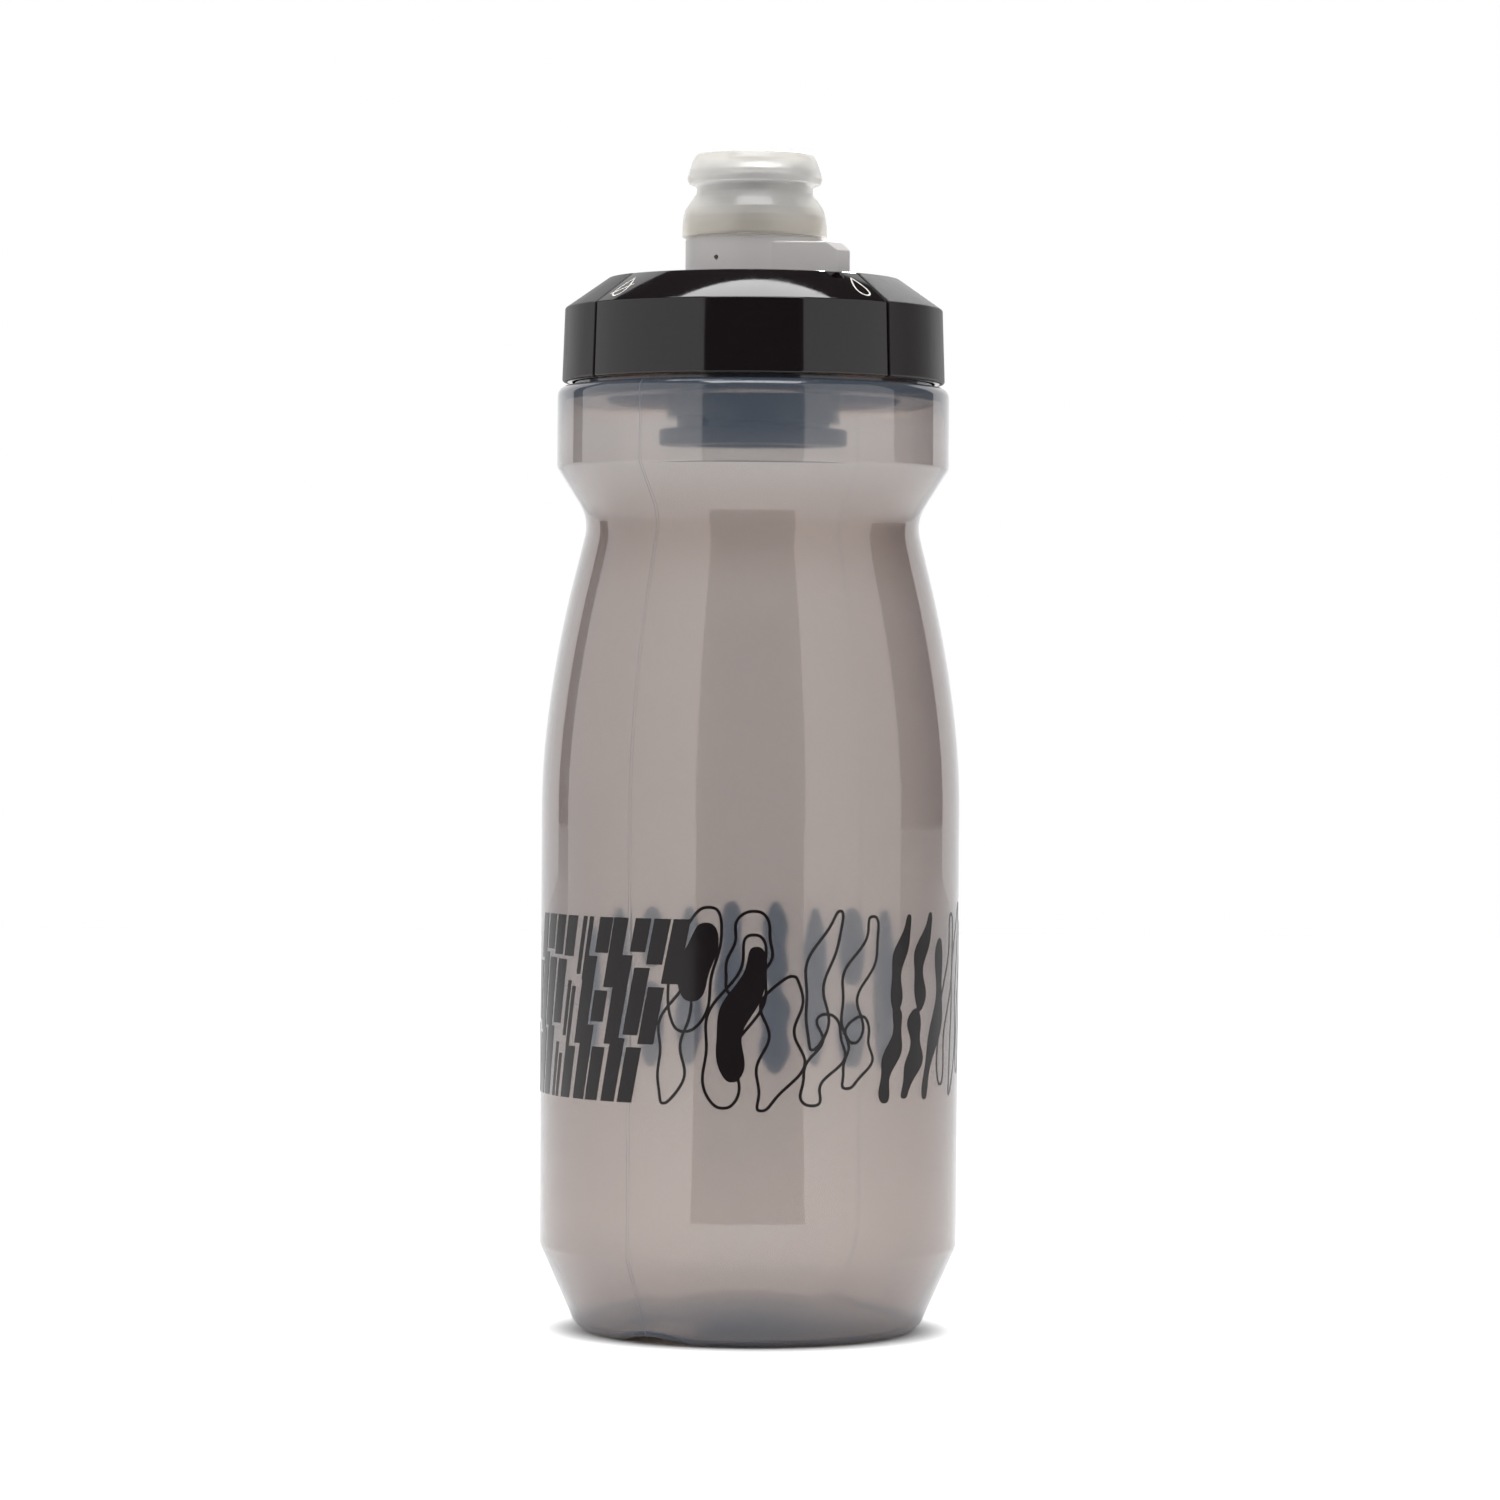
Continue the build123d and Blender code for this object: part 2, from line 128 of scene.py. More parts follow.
def soft_curve(points, first_slope, last_slope, step):
    """A smooth cubic run through (r, z) points, with its slope dr/dz given at both ends."""
    r, z = np.array(points, float).T
    size = len(z)
    system, wanted = np.eye(size), np.zeros(size)
    wanted[0], wanted[-1] = first_slope, last_slope
    for at in range(1, size - 1):
        low, high = z[at] - z[at - 1], z[at + 1] - z[at]
        system[at, at - 1 : at + 2] = 1 / low, 2 / low + 2 / high, 1 / high
        wanted[at] = 3 * ((r[at] - r[at - 1]) / low**2 + (r[at + 1] - r[at]) / high**2)
    slope = np.linalg.solve(system, wanted)
    run = []
    for at in range(size - 1):
        span = z[at + 1] - z[at]
        for t in np.arange(0, 1, step / span):
            place = (1 + 2 * t) * (1 - t) ** 2 * r[at] + t**2 * (3 - 2 * t) * r[at + 1]
            lean = span * (t * (1 - t) ** 2 * slope[at] - t**2 * (1 - t) * slope[at + 1])
            run.append(Vector((place + lean, z[at] + t * span)))
    return run + [Vector((r[-1], z[-1]))]


def evenly(points, longest):
    """The same run with points added, so that no stretch is longer than given."""
    run = [points[0]]
    for start, end in zip(points, points[1:]):
        pieces = max(1, math.ceil((end - start).length / longest))
        run += [start.lerp(end, part / pieces) for part in range(1, pieces + 1)]
    return run


# %% [markdown]
# ## Turning an outline
#
# A lathe spins the outline round the axis.  Here it is a grid of rings and columns, so each point can
# still be nudged by a rule: that is how the base gets its hollow, and the neck its thread, without
# cutting the mesh.  Where the outline touches the axis, a whole ring shares one point, so the pole is
# closed.  An outline that ends where it began makes a ring instead.

# %% The lathe
SAME = 0.001  # two places this close, in millimetres, are one and the same


def turn_outline(outline, angles, shape=None):
    """Points and faces of an outline of (r, z) in mm, turned through the angles, in radians.

    The outline runs with the solid on its left.  shape(r, z, angle, index) may move each point.
    """
    closed = (outline[0] - outline[-1]).length < SAME
    points, rings = [], []
    for index, (r, z) in enumerate(outline[:-1] if closed else outline):
        columns = angles if r > SAME else angles[:1]
        start = len(points)
        for angle in columns:
            at_r, at_z = shape(r, z, angle, index) if shape else (r, z)
            points.append((at_r * math.cos(angle) * MM, at_r * math.sin(angle) * MM, at_z * MM))
        rings.append([start + column % len(columns) for column in range(len(angles) + 1)])
    if closed:
        rings.append(rings[0])
    faces = []
    for lower, upper in zip(rings, rings[1:]):
        for column in range(len(angles)):
            corners = (lower[column], lower[column + 1], upper[column + 1], upper[column])
            faces.append(tuple(dict.fromkeys(corners)))
    return points, faces


def round_angles(count, extra=()):
    """Evenly spaced angles all round, with some more of them, in radians."""
    even = {2 * math.pi * step / count for step in range(count)}
    return sorted(even | {angle % (2 * math.pi) for angle in extra})


def from_azimuth(azimuth):
    """The angle about Z, in radians, of an azimuth in degrees."""
    return math.radians(azimuth - 90.0)


# %% [markdown]
# ## The bottle's outline
#
# The body is one blown skin.  From the standing ring it flares to the straight barrel that a cage
# grips, narrows along a soft shoulder to a waist for the cage's tab, and flares again to a collar
# nearly as wide as the cap.  The inside is the same outline, one wall thickness in.

# %% Sizes of the bottle
bottle_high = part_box("bottle_body")[1] / MM
BARREL_R, LIP_Z = bottle_high.x, bottle_high.z
WALL = 1.1
BARREL_TOP = 92.0
SHOULDER_END = (29.75, 138.0)
COLLAR_R, COLLAR_TOP = 34.4, 165.6
BEAD_TOP, BEAD_R = 166.4, 31.4
NECK_R, MOUTH_R = 27.6, 25.9
CAVITY_TOP_R = 29.5  # where the ceiling of the cavity meets the neck's bore
PARTING = -34.4  # azimuth of the line where the two halves of the mould met
print("barrel radius", round(BARREL_R, 2), "mm and lip at", round(LIP_Z, 2), "mm")


def skin(inset):
    """The body's outline from the middle of its base to its collar, one inset in from the outside."""
    barrel = BARREL_R - inset
    waist_side = (SHOULDER_END[0] - inset, SHOULDER_END[1])
    foot = rounded([
        (0, inset, 0),
        (29.9 - inset, inset, 4.0 - inset),
        (barrel, 15.2, 2.5),
        (barrel, BARREL_TOP, 0),
    ])
    shoulder = [(barrel, BARREL_TOP), (34.8 - inset, 114.3), (31.7 - inset, 130.1), waist_side]
    collar = rounded([
        (*waist_side, 0),
        (28.72 - inset, 142.3, 7.3 + inset),
        (COLLAR_R - inset, 151.4, 1.0),
        (COLLAR_R - inset, COLLAR_TOP - inset, 1.8),
        (CAVITY_TOP_R, COLLAR_TOP - inset, 0),
    ])
    soft = soft_curve(shoulder, first_slope=0.0, last_slope=-0.24, step=1.4)
    return foot[:-1] + soft[:-1] + collar


# %% Outside and inside of the body
neck = rounded([
    (BEAD_R, COLLAR_TOP, 0),
    (BEAD_R, BEAD_TOP, 0.25),
    (NECK_R, BEAD_TOP, 0.2),
    (NECK_R, LIP_Z, 0.6),
    (MOUTH_R, LIP_Z, 0.4),
    (MOUTH_R, COLLAR_TOP - WALL, 0.5),
    (CAVITY_TOP_R, COLLAR_TOP - WALL, 0),
])
outside_run = skin(0.0)[:-1] + neck
inside_run = skin(WALL)[:-1]
BASE_STEP, THREAD_STEP, LONG_STEP = 0.6, 0.28, 7.0  # rings are closest where a rule will move them
BASE_DEPTH = 0.1  # an outline is still on the base when it has climbed no more than this


def ring_step(start, end, ground):
    """The longest stretch allowed between two corners of the outline."""
    if max(start.y, end.y) < ground + BASE_DEPTH:
        return BASE_STEP
    on_thread = abs(start.x - NECK_R) < SAME and abs(end.x - NECK_R) < SAME
    return THREAD_STEP if on_thread else LONG_STEP


wall_run = []
for start, end in zip(outside_run, outside_run[1:]):
    wall_run += evenly([start, end], ring_step(start, end, 0.0))[:-1]
OUTSIDE_RINGS = len(wall_run)
for start, end in zip([outside_run[-1]] + inside_run[:0:-1], inside_run[::-1]):
    wall_run += evenly([start, end], ring_step(start, end, WALL))[:-1]
wall_run.append(inside_run[0])
print(OUTSIDE_RINGS, "rings outside and", len(wall_run) - OUTSIDE_RINGS, "inside")

# %% [markdown]
# ## Rules that shape the skin
#
# A few rules move the lathe's points.  The base is pushed up in the middle, so that the bottle stands
# on a ring, and a shallow channel runs right across it along the mould's parting plane.  The neck's
# thread is a two-start helix: at any height and angle, the rule asks how far it is from the middle of
# the nearest turn.  The parting line is a ridge, less than a tenth of a millimetre high, up both sides.
# The wall itself isn't even: blowing leaves it thinner where it was stretched most.

# %% Rules for the base
PUSH_UP_R, PUSH_UP_HEIGHT = 23.5, 5.0
CHANNEL_HALF_WIDTH, CHANNEL_HEIGHT = 7.0, 1.4
BASE_HIGH = 6.0  # above this the base's rules change nothing
parting_angle = from_azimuth(PARTING)
print("the base is pushed up by", PUSH_UP_HEIGHT, "mm, and its channel is", CHANNEL_HEIGHT, "mm deep")


def arch(distance, half_width, height, inset):
    """Height of a circular arch over the ground, at a distance from its middle."""
    radius = (half_width**2 + height**2) / (2 * height)
    inside = (radius + inset) ** 2 - distance**2
    return height - radius + math.sqrt(inside) if inside > 0 else -100.0


def soft_max(a, b, softness=0.5):
    """The larger of two heights, blended where they are close."""
    share = max(softness - abs(a - b), 0.0) / softness
    return max(a, b) + share**2 * softness / 4


# %% A rule for the thread
THREAD_START_Z, THREAD_LEAD, THREAD_TURNS, THREAD_HEIGHT = 169.3, 9.0, 0.69, 1.3
THREAD_HALF_ROOT, THREAD_FLANK = 1.1, 0.55
THREAD_RUN_OUT = 0.03  # the share of a turn in which the thread rises from the neck
print("the thread climbs", THREAD_LEAD, "mm a turn, and each start runs for", THREAD_TURNS, "of a turn")


def ramp(value, start, end):
    """Goes from 0 to 1 while a value goes from start to end."""
    return min(max((value - start) / (end - start), 0.0), 1.0)


def thread_height(angle, z):
    """How far the two-start thread stands out of the neck at an angle and a height."""
    height = 0.0
    for start in (0.0, math.pi):
        turned = ((angle - start) % (2 * math.pi)) / (2 * math.pi)
        offset = abs(z - THREAD_START_Z - THREAD_LEAD * turned)
        flank = ramp(offset, THREAD_HALF_ROOT, THREAD_HALF_ROOT - THREAD_FLANK)
        run_out = ramp(min(turned, THREAD_TURNS - turned), 0.0, THREAD_RUN_OUT)
        height = max(height, THREAD_HEIGHT * flank * run_out)
    return height


# %% Rules for the parting line and the wall
RIDGE_HEIGHT, RIDGE_CREST, RIDGE_FOOT = 0.02, 0.06, 0.14  # crest and foot are half widths
RIDGE_LOW, RIDGE_HIGH = 5.0, COLLAR_TOP - 1.0
COLLAR_THINNER, WAIST_THICKER = 0.40, 0.30
THIN_LOW, THIN_HIGH = (147.0, 153.0), (162.0, 164.0)  # where the thinning fades in, and out again
THICK_Z, THICK_SPREAD = 140.0, 7.0
collar_wall, waist_wall = round(WALL - COLLAR_THINNER, 2), round(WALL + WAIST_THICKER, 2)
print("the wall is about", collar_wall, "mm at the collar and", waist_wall, "mm at the waist")


def thinning(z):
    """How much thinner the blown wall is at a height: thin at the wide collar, thick at the waist."""
    collar = ramp(z, *THIN_LOW) * ramp(z, *reversed(THIN_HIGH))
    return COLLAR_THINNER * collar - WAIST_THICKER * math.exp(-(((z - THICK_Z) / THICK_SPREAD) ** 2))


def shape_skin(r, z, angle, index):
    """Moves a point of the bottle's lathe to where the rules put it."""
    outside = index < OUTSIDE_RINGS
    inset = 0.0 if outside else WALL
    if not outside:
        r += thinning(z)
    if z < BASE_HIGH:
        across = r * math.sin(angle - parting_angle)
        channel = arch(across, CHANNEL_HALF_WIDTH, CHANNEL_HEIGHT, inset)
        z = soft_max(z, soft_max(arch(r, PUSH_UP_R, PUSH_UP_HEIGHT, inset), channel))
    if outside and abs(r - NECK_R) < SAME:
        r += thread_height(angle, z)
    on_crest = abs(math.sin(angle - parting_angle)) * BARREL_R < (RIDGE_CREST + RIDGE_FOOT) / 2
    if outside and on_crest and RIDGE_LOW < z < RIDGE_HIGH:
        r += RIDGE_HEIGHT
    return r, z


# %% Turn the bottle
BOTTLE_COLUMNS = 208
ridge_edges = [edge / BARREL_R for edge in (-RIDGE_FOOT, -RIDGE_CREST, RIDGE_CREST, RIDGE_FOOT)]
ridge_angles = [parting_angle + side + edge for side in (0.0, math.pi) for edge in ridge_edges]
bottle_angles = round_angles(BOTTLE_COLUMNS, ridge_angles)
wall_points, wall_faces = turn_outline(wall_run, bottle_angles, shape_skin)
bottle_wall = new_piece("bottle_wall", wall_points, wall_faces)
describe(bottle_wall)

# %% [markdown]
# ## The bite valve
#
# The mouthpiece is soft silicone, so its outline has no straight line and no hard edge.  A skirt fits
# over the dial's boss, the neck narrows above it, and a rolled lip stops the teeth from pulling it
# off.  The inside follows the boss and the nozzle, because their ledges show through the silicone.
# The diaphragm across the mouth is dished, and slit crosswise.

# %% Outline of the bite valve
VALVE_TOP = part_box("bite_valve")[1].z / MM
VALVE_FOOT = 191.85
VALVE_SHARP = 50.0  # degrees: soft silicone keeps fewer edges sharp than hard plastic
BOSS_R, BOSS_TOP = 11.03, 195.65
NOZZLE_R, NOZZLE_BEAD_R = 8.43, 9.33
BEAD_LOW, BEAD_HIGH = 200.85, 202.55
DISH_Z, DIAPHRAGM = 205.2, 1.0
valve_side = [
    (BOSS_R, VALVE_FOOT, 0),
    (12.5, VALVE_FOOT, 0.2),
    (12.72, 192.1, 0.3),
    (12.66, 194.0, 1.5),
    (12.5, 195.25, 1.5),
    (12.12, 196.7, 0.8),
    (11.2, 198.2, 1.5),
    (10.2, 199.5, 0.9),
    (10.15, 200.55, 0.35),
    (10.75, 201.1, 0.3),
    (11.5, 201.25, 0.3),
    (11.88, 202.1, 0.5),
    (11.35, 203.9, 1.2),
    (10.95, 205.2, 1.0),
    (10.3, 206.35, 0.9),
    (9.0, VALVE_TOP, 0.9),
    (7.8, 206.2, 1.2),
    (4.0, DISH_Z + 0.25, 3.0),
    (0, DISH_Z, 0),
]
valve_inside = [
    (0, DISH_Z - DIAPHRAGM, 0),
    (7.4, DISH_Z - DIAPHRAGM, 0.6),
    (NOZZLE_R, BEAD_HIGH, 0.1),
    (NOZZLE_BEAD_R, BEAD_HIGH, 0.1),
    (NOZZLE_BEAD_R, BEAD_LOW, 0.1),
    (NOZZLE_R, BEAD_LOW, 0.1),
    (NOZZLE_R, BOSS_TOP, 0.1),
    (BOSS_R, BOSS_TOP, 0.1),
    (BOSS_R, VALVE_FOOT, 0),
]
VALVE_COLUMNS = 144
valve_run = evenly(rounded(valve_side, step_degrees=10.0), longest=1.2)
valve_run += evenly(rounded(valve_inside, step_degrees=15.0), longest=1.5)
valve_points, valve_faces = turn_outline(valve_run, round_angles(VALVE_COLUMNS))
valve_bite = new_piece("valve_bite", valve_points, valve_faces, VALVE_SHARP)
describe(valve_bite)

# %% [markdown]
# The slits are cut with two thin blades.  The blades are deeper than the diaphragm, so they go right
# through it, and shorter than the mouth, so they leave the lip whole.

# %% Slit the diaphragm
SLIT_LENGTH, SLIT_WIDTH, SLIT_AZIMUTH = 7.0, 0.16, -5.7
BLADE_REACH = 3.0  # above and below the dish


def blade_points():
    """A plus-shaped prism of two crossed blades, as points in metres and faces."""
    long, thin = SLIT_LENGTH / 2, SLIT_WIDTH / 2
    corner = [(long, -thin), (long, thin), (thin, thin)]
    ring = []
    for quarter in range(4):
        turn = Matrix.Rotation(math.radians(90 * quarter + SLIT_AZIMUTH), 2)
        ring += [turn @ Vector(point) for point in corner]
    heights = (DISH_Z - BLADE_REACH, DISH_Z + BLADE_REACH)
    points = [(x * MM, y * MM, z * MM) for z in heights for x, y in ring]
    count = len(ring)
    sides = [(at, (at + 1) % count, (at + 1) % count + count, at + count) for at in range(count)]
    return points, sides + [tuple(range(count))[::-1], tuple(range(count, 2 * count))]


blade = new_piece("blade", *blade_points())
cut = valve_bite.modifiers.new("slit", "BOOLEAN")
cut.object, cut.operation, cut.solver = blade, "DIFFERENCE", "EXACT"
graph = bpy.context.evaluated_depsgraph_get()
slit_mesh = bpy.data.meshes.new_from_object(valve_bite.evaluated_get(graph), depsgraph=graph)
valve_bite.modifiers.clear()
valve_bite.data = slit_mesh
smooth(slit_mesh, VALVE_SHARP)
bpy.data.objects.remove(blade)
describe(valve_bite)

# %% [markdown]
# ## Node trees, in short
#
# The finishes and the printed band are both made of node trees.  `put` adds a node and says what feeds
# each of its inputs, either a value or another node's output.  `calc` is one step of arithmetic, `fade`
# turns one range of values into another, and `mix_colours` mixes two colours.


# %% Helpers for node trees
def put(tree, kind, feeds=None, **settings):
    """A new node.  feeds is {input's name or number: a value, or the output that feeds it}."""
    node = tree.nodes.new(kind)
    for label, value in settings.items():
        setattr(node, label, value)
    for which, value in (feeds or {}).items():
        if isinstance(value, bpy.types.NodeSocket):
            tree.links.new(value, node.inputs[which])
        else:
            node.inputs[which].default_value = value
    return node


def calc(tree, operation, *values):
    """The output of one step of arithmetic on values or other outputs."""
    return put(tree, "ShaderNodeMath", dict(enumerate(values)), operation=operation).outputs[0]


def fade(tree, value, start, end, first=0.0, last=1.0, **settings):
    """An output that goes from first to last while a value goes from start to end."""
    feeds = {"Value": value, "From Min": start, "From Max": end, "To Min": first, "To Max": last}
    return put(tree, "ShaderNodeMapRange", feeds, **settings).outputs[0]


def mix_colours(tree, factor, first, second):
    """The first colour where the factor is 0, and the second where it is 1."""
    feeds = {"Factor": factor, "A": first, "B": second}
    return put(tree, "ShaderNodeMix", feeds, data_type="RGBA").outputs["Result"]


def own_place(tree):
    """Where a point is on its piece, in metres, wherever the piece is moved to."""
    return put(tree, "ShaderNodeTexCoord").outputs["Object"]


def new_group(kind, name, inputs, outputs):
    """A node group with its input and output nodes.  inputs and outputs are {label: (type, default)}."""
    group = bpy.data.node_groups.new(name, kind)
    for in_out, sockets in (("INPUT", inputs), ("OUTPUT", outputs)):
        for label, (socket_type, default) in sockets.items():
            socket = group.interface.new_socket(label, in_out=in_out, socket_type="NodeSocket" + socket_type)
            if default is not None:
                socket.default_value = default
    return group, group.nodes.new("NodeGroupInput").outputs, group.nodes.new("NodeGroupOutput").inputs


# %% [markdown]
# ## Effects that the finishes share
#
# Moulded plastic is never perfectly even.  Three small groups hold what the finishes have in common:
# `Moulded Grain` gives the fine uneven height of a moulded surface, `Handling Wear` the faint streaks
# that cloth and fingers leave on its gloss, and `Uneven Tone` the slow drift of a colour over a large
# part.  Each is built once, and each material places it with values of its own.

# %% Moulded Grain
VECTOR = ("Vector", None)
grain, given, made = new_group(
    "ShaderNodeTree",
    "Moulded Grain",
    {"Place": VECTOR, "Grain Size": ("Float", 1.0), "Waviness": ("Float", 0.4)},
    {"Height": ("Float", None)},
)
WAVE_TO_GRAIN = 0.06  # a wave is about 17 grains long
fine_scale = calc(grain, "DIVIDE", 1 / MM, given["Grain Size"])
wave_scale = calc(grain, "MULTIPLY", fine_scale, WAVE_TO_GRAIN)
noise = {"Vector": given["Place"], "Detail": 3.0, "Roughness": 0.6}
fine = put(grain, "ShaderNodeTexNoise", noise | {"Scale": fine_scale}).outputs["Fac"]
waves = put(grain, "ShaderNodeTexNoise", noise | {"Scale": wave_scale, "Detail": 1.0}).outputs["Fac"]
both = {"Factor": given["Waviness"], "A": fine, "B": waves}
blend = put(grain, "ShaderNodeMix", both, data_type="FLOAT")
grain.links.new(blend.outputs["Result"], made["Height"])

# %% Handling Wear
wear, given, made = new_group(
    "ShaderNodeTree",
    "Handling Wear",
    {"Place": VECTOR, "Roughness": ("Float", 0.3), "Amount": ("Float", 0.2)},
    {"Roughness": ("Float", None)},
)
stretched = put(wear, "ShaderNodeMapping", {"Vector": given["Place"], "Scale": (1.0, 1.0, 0.22)})
streaks = put(
    wear,
    "ShaderNodeTexNoise",
    {"Vector": stretched.outputs[0], "Scale": 260.0, "Detail": 5.0, "Roughness": 0.7},
).outputs["Fac"]
patches = put(wear, "ShaderNodeTexNoise", {"Vector": given["Place"], "Scale": 38.0}).outputs["Fac"]
marks = calc(wear, "MULTIPLY", fade(wear, streaks, 0.5, 0.72), patches)
dulled = calc(wear, "MULTIPLY_ADD", marks, given["Amount"], given["Roughness"])
wear.links.new(dulled, made["Roughness"])

# %% Uneven Tone
BLACK, WHITE = (0.0, 0.0, 0.0, 1.0), (1.0, 1.0, 1.0, 1.0)
tone, given, made = new_group(
    "ShaderNodeTree",
    "Uneven Tone",
    {"Place": VECTOR, "Dark": ("Color", BLACK), "Light": ("Color", BLACK), "Patch Size": ("Float", 30.0)},
    {"Color": ("Color", None)},
)
patch_scale = calc(tone, "DIVIDE", 1 / MM, given["Patch Size"])
drift = put(
    tone, "ShaderNodeTexNoise", {"Vector": given["Place"], "Scale": patch_scale, "Detail": 3.0}
)
mixed = mix_colours(tone, drift.outputs["Fac"], given["Dark"], given["Light"])
tone.links.new(mixed, made["Color"])
print("shared effects:", sorted(group.name for group in bpy.data.node_groups))

# %% [markdown]
# ## A finish
#
# `new_finish` makes a material with one Principled BSDF.  Whatever is the same all over, such as how
# much light passes through, is set on the shader's own sockets.  Colour, roughness and bump go through
# the shared groups, on Object coordinates, so they stay put when a part moves.


# %% Build a finish from the shared groups
def new_finish(name, dark, light, roughness, worn, grain_size, grain_depth, **sockets):
    """A moulded finish.  Colours are linear, and grain_size and grain_depth are millimetres."""
    material = bpy.data.materials.new(name)
    material.use_nodes = True
    tree = material.node_tree
    shader = tree.nodes["Principled BSDF"]
    place = own_place(tree)

    def shared(group, **feeds):
        node = put(tree, "ShaderNodeGroup", node_tree=group, name=group.name)
        for label, value in ({"Place": place} | feeds).items():
            socket = node.inputs[label.replace("_", " ")]
            if isinstance(value, bpy.types.NodeSocket):
                tree.links.new(value, socket)
            else:
                socket.default_value = value
        return node.outputs[0]

    height = shared(grain, Grain_Size=grain_size)
    bump = put(tree, "ShaderNodeBump", {"Height": height, "Strength": 1.0, "Distance": grain_depth * MM})
    looks = {
        "Base Color": shared(tone, Dark=(*dark, 1.0), Light=(*light, 1.0)),
        "Roughness": shared(wear, Roughness=roughness, Amount=worn),
        "Normal": bump.outputs["Normal"],
    }
    for label, output in looks.items():
        tree.links.new(output, shader.inputs[label])
    for label, value in sockets.items():
        shader.inputs[label.replace("_", " ")].default_value = value
    return material


def dress(piece, *materials):
    """Gives a piece or a CAD node these materials instead of the ones it had."""
    piece.data.materials.clear()
    for material in materials:
        piece.data.materials.append(material)


# %% [markdown]
# ## Smoke-tinted squeeze plastic
#
# The body's plastic is hazy: light that comes back from it is faintly blue, and light that has passed
# through it is faintly brown.  So the shader mixes a cool milky share with a clear share, and a Volume
# Absorption with a warm colour takes its part of the light inside the wall, most of it where the wall
# is seen edge on.  Blowing leaves the outside glossy and the inside duller.  Both sides have to be one
# material, or light that goes in by one side and out by the other would seem never to leave the wall.
# So an attribute named `inside` tells the shader which side it is on.

# %% Mark the inside of the wall
ring_starts = np.cumsum([0] + [len(bottle_angles) if r > SAME else 1 for r, z in wall_run])
first_inside = ring_starts[OUTSIDE_RINGS]
sides = [float(min(face.vertices) >= first_inside) for face in bottle_wall.data.polygons]
bottle_wall.data.attributes.new("inside", "FLOAT", "FACE").data.foreach_set("value", sides)
print(int(sum(sides)), "of", len(sides), "faces are the inside")

# %% Mix the squeeze plastic
CLEAR_SHARE = 0.78
OUTSIDE_ROUGHNESS, INSIDE_ROUGHNESS = 0.03, 0.10
SMOKE = (0.748, 0.614, 0.49, 1.0)  # red is lost least on the way through, and blue most
SMOKE_DENSITY = 1 / MM
squeeze_plastic = new_finish(
    "squeeze_plastic", (0.50, 0.68, 0.94), (0.56, 0.74, 1.00), 0.6, 0.03, 6.0, 0.0006,
    IOR=1.5, Transmission_Weight=0.6, Coat_Weight=0.6, Coat_Roughness=0.03,
)
tree = squeeze_plastic.node_tree
milky = tree.nodes["Principled BSDF"]
inside = put(tree, "ShaderNodeAttribute", attribute_name="inside").outputs["Fac"]
side_roughness = calc(
    tree, "MULTIPLY_ADD", inside, INSIDE_ROUGHNESS - OUTSIDE_ROUGHNESS, OUTSIDE_ROUGHNESS
)
glassy = {
    "Base Color": WHITE,
    "IOR": 1.5,
    "Transmission Weight": 1.0,
    "Coat Weight": 0.6,
    "Coat Roughness": 0.03,
    "Roughness": side_roughness,
    "Normal": milky.inputs["Normal"].links[0].from_socket,
}
clear = put(tree, "ShaderNodeBsdfPrincipled", glassy, name="Clear Share")
both = put(
    tree,
    "ShaderNodeMixShader",
    {0: CLEAR_SHARE, 1: milky.outputs[0], 2: clear.outputs[0]},
    name="Milky or Clear",
)
smoke = put(tree, "ShaderNodeVolumeAbsorption", {"Color": SMOKE, "Density": SMOKE_DENSITY})
finished = tree.nodes["Material Output"].inputs
tree.links.new(both.outputs[0], finished["Surface"])
tree.links.new(smoke.outputs[0], finished["Volume"])

# %% [markdown]
# The parting line looks darker than the wall beside it, because the skin is a little thicker there and
# dirt settles against the ridge.  Its mask asks how far a point is from the mould's parting plane,
# which holds the bottle's axis, so one plane draws the line up both sides.

# %% Darken the parting line
LINE_CORE, LINE_EDGE, LINE_STRENGTH = 0.02, 0.07, 0.55  # half widths, and how dark the core is
LINE_DIRT = (0.02, 0.02, 0.025, 1.0)
plane_normal = (-math.sin(parting_angle), math.cos(parting_angle), 0.0)
to_plane = put(
    tree, "ShaderNodeVectorMath", {0: own_place(tree), 1: plane_normal}, operation="DOT_PRODUCT"
)
distance = calc(tree, "ABSOLUTE", to_plane.outputs["Value"])
line = fade(tree, distance, LINE_CORE * MM, LINE_EDGE * MM, LINE_STRENGTH, 0.0)
plain = milky.inputs["Base Color"].links[0].from_socket
tree.links.new(mix_colours(tree, line, plain, LINE_DIRT), milky.inputs["Base Color"])
less_clear = calc(tree, "MULTIPLY_ADD", line, -CLEAR_SHARE, CLEAR_SHARE)
tree.links.new(less_clear, both.inputs[0])
print("the parting line is", 2 * LINE_EDGE, "mm wide, at azimuths", PARTING, "and", PARTING + 180.0)

# %% Dress the bottle
dress(bottle_wall, squeeze_plastic)
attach(bottle_wall, "bottle")
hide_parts("bottle_body")
print(bottle_wall.name, "has the finish", squeeze_plastic.name)
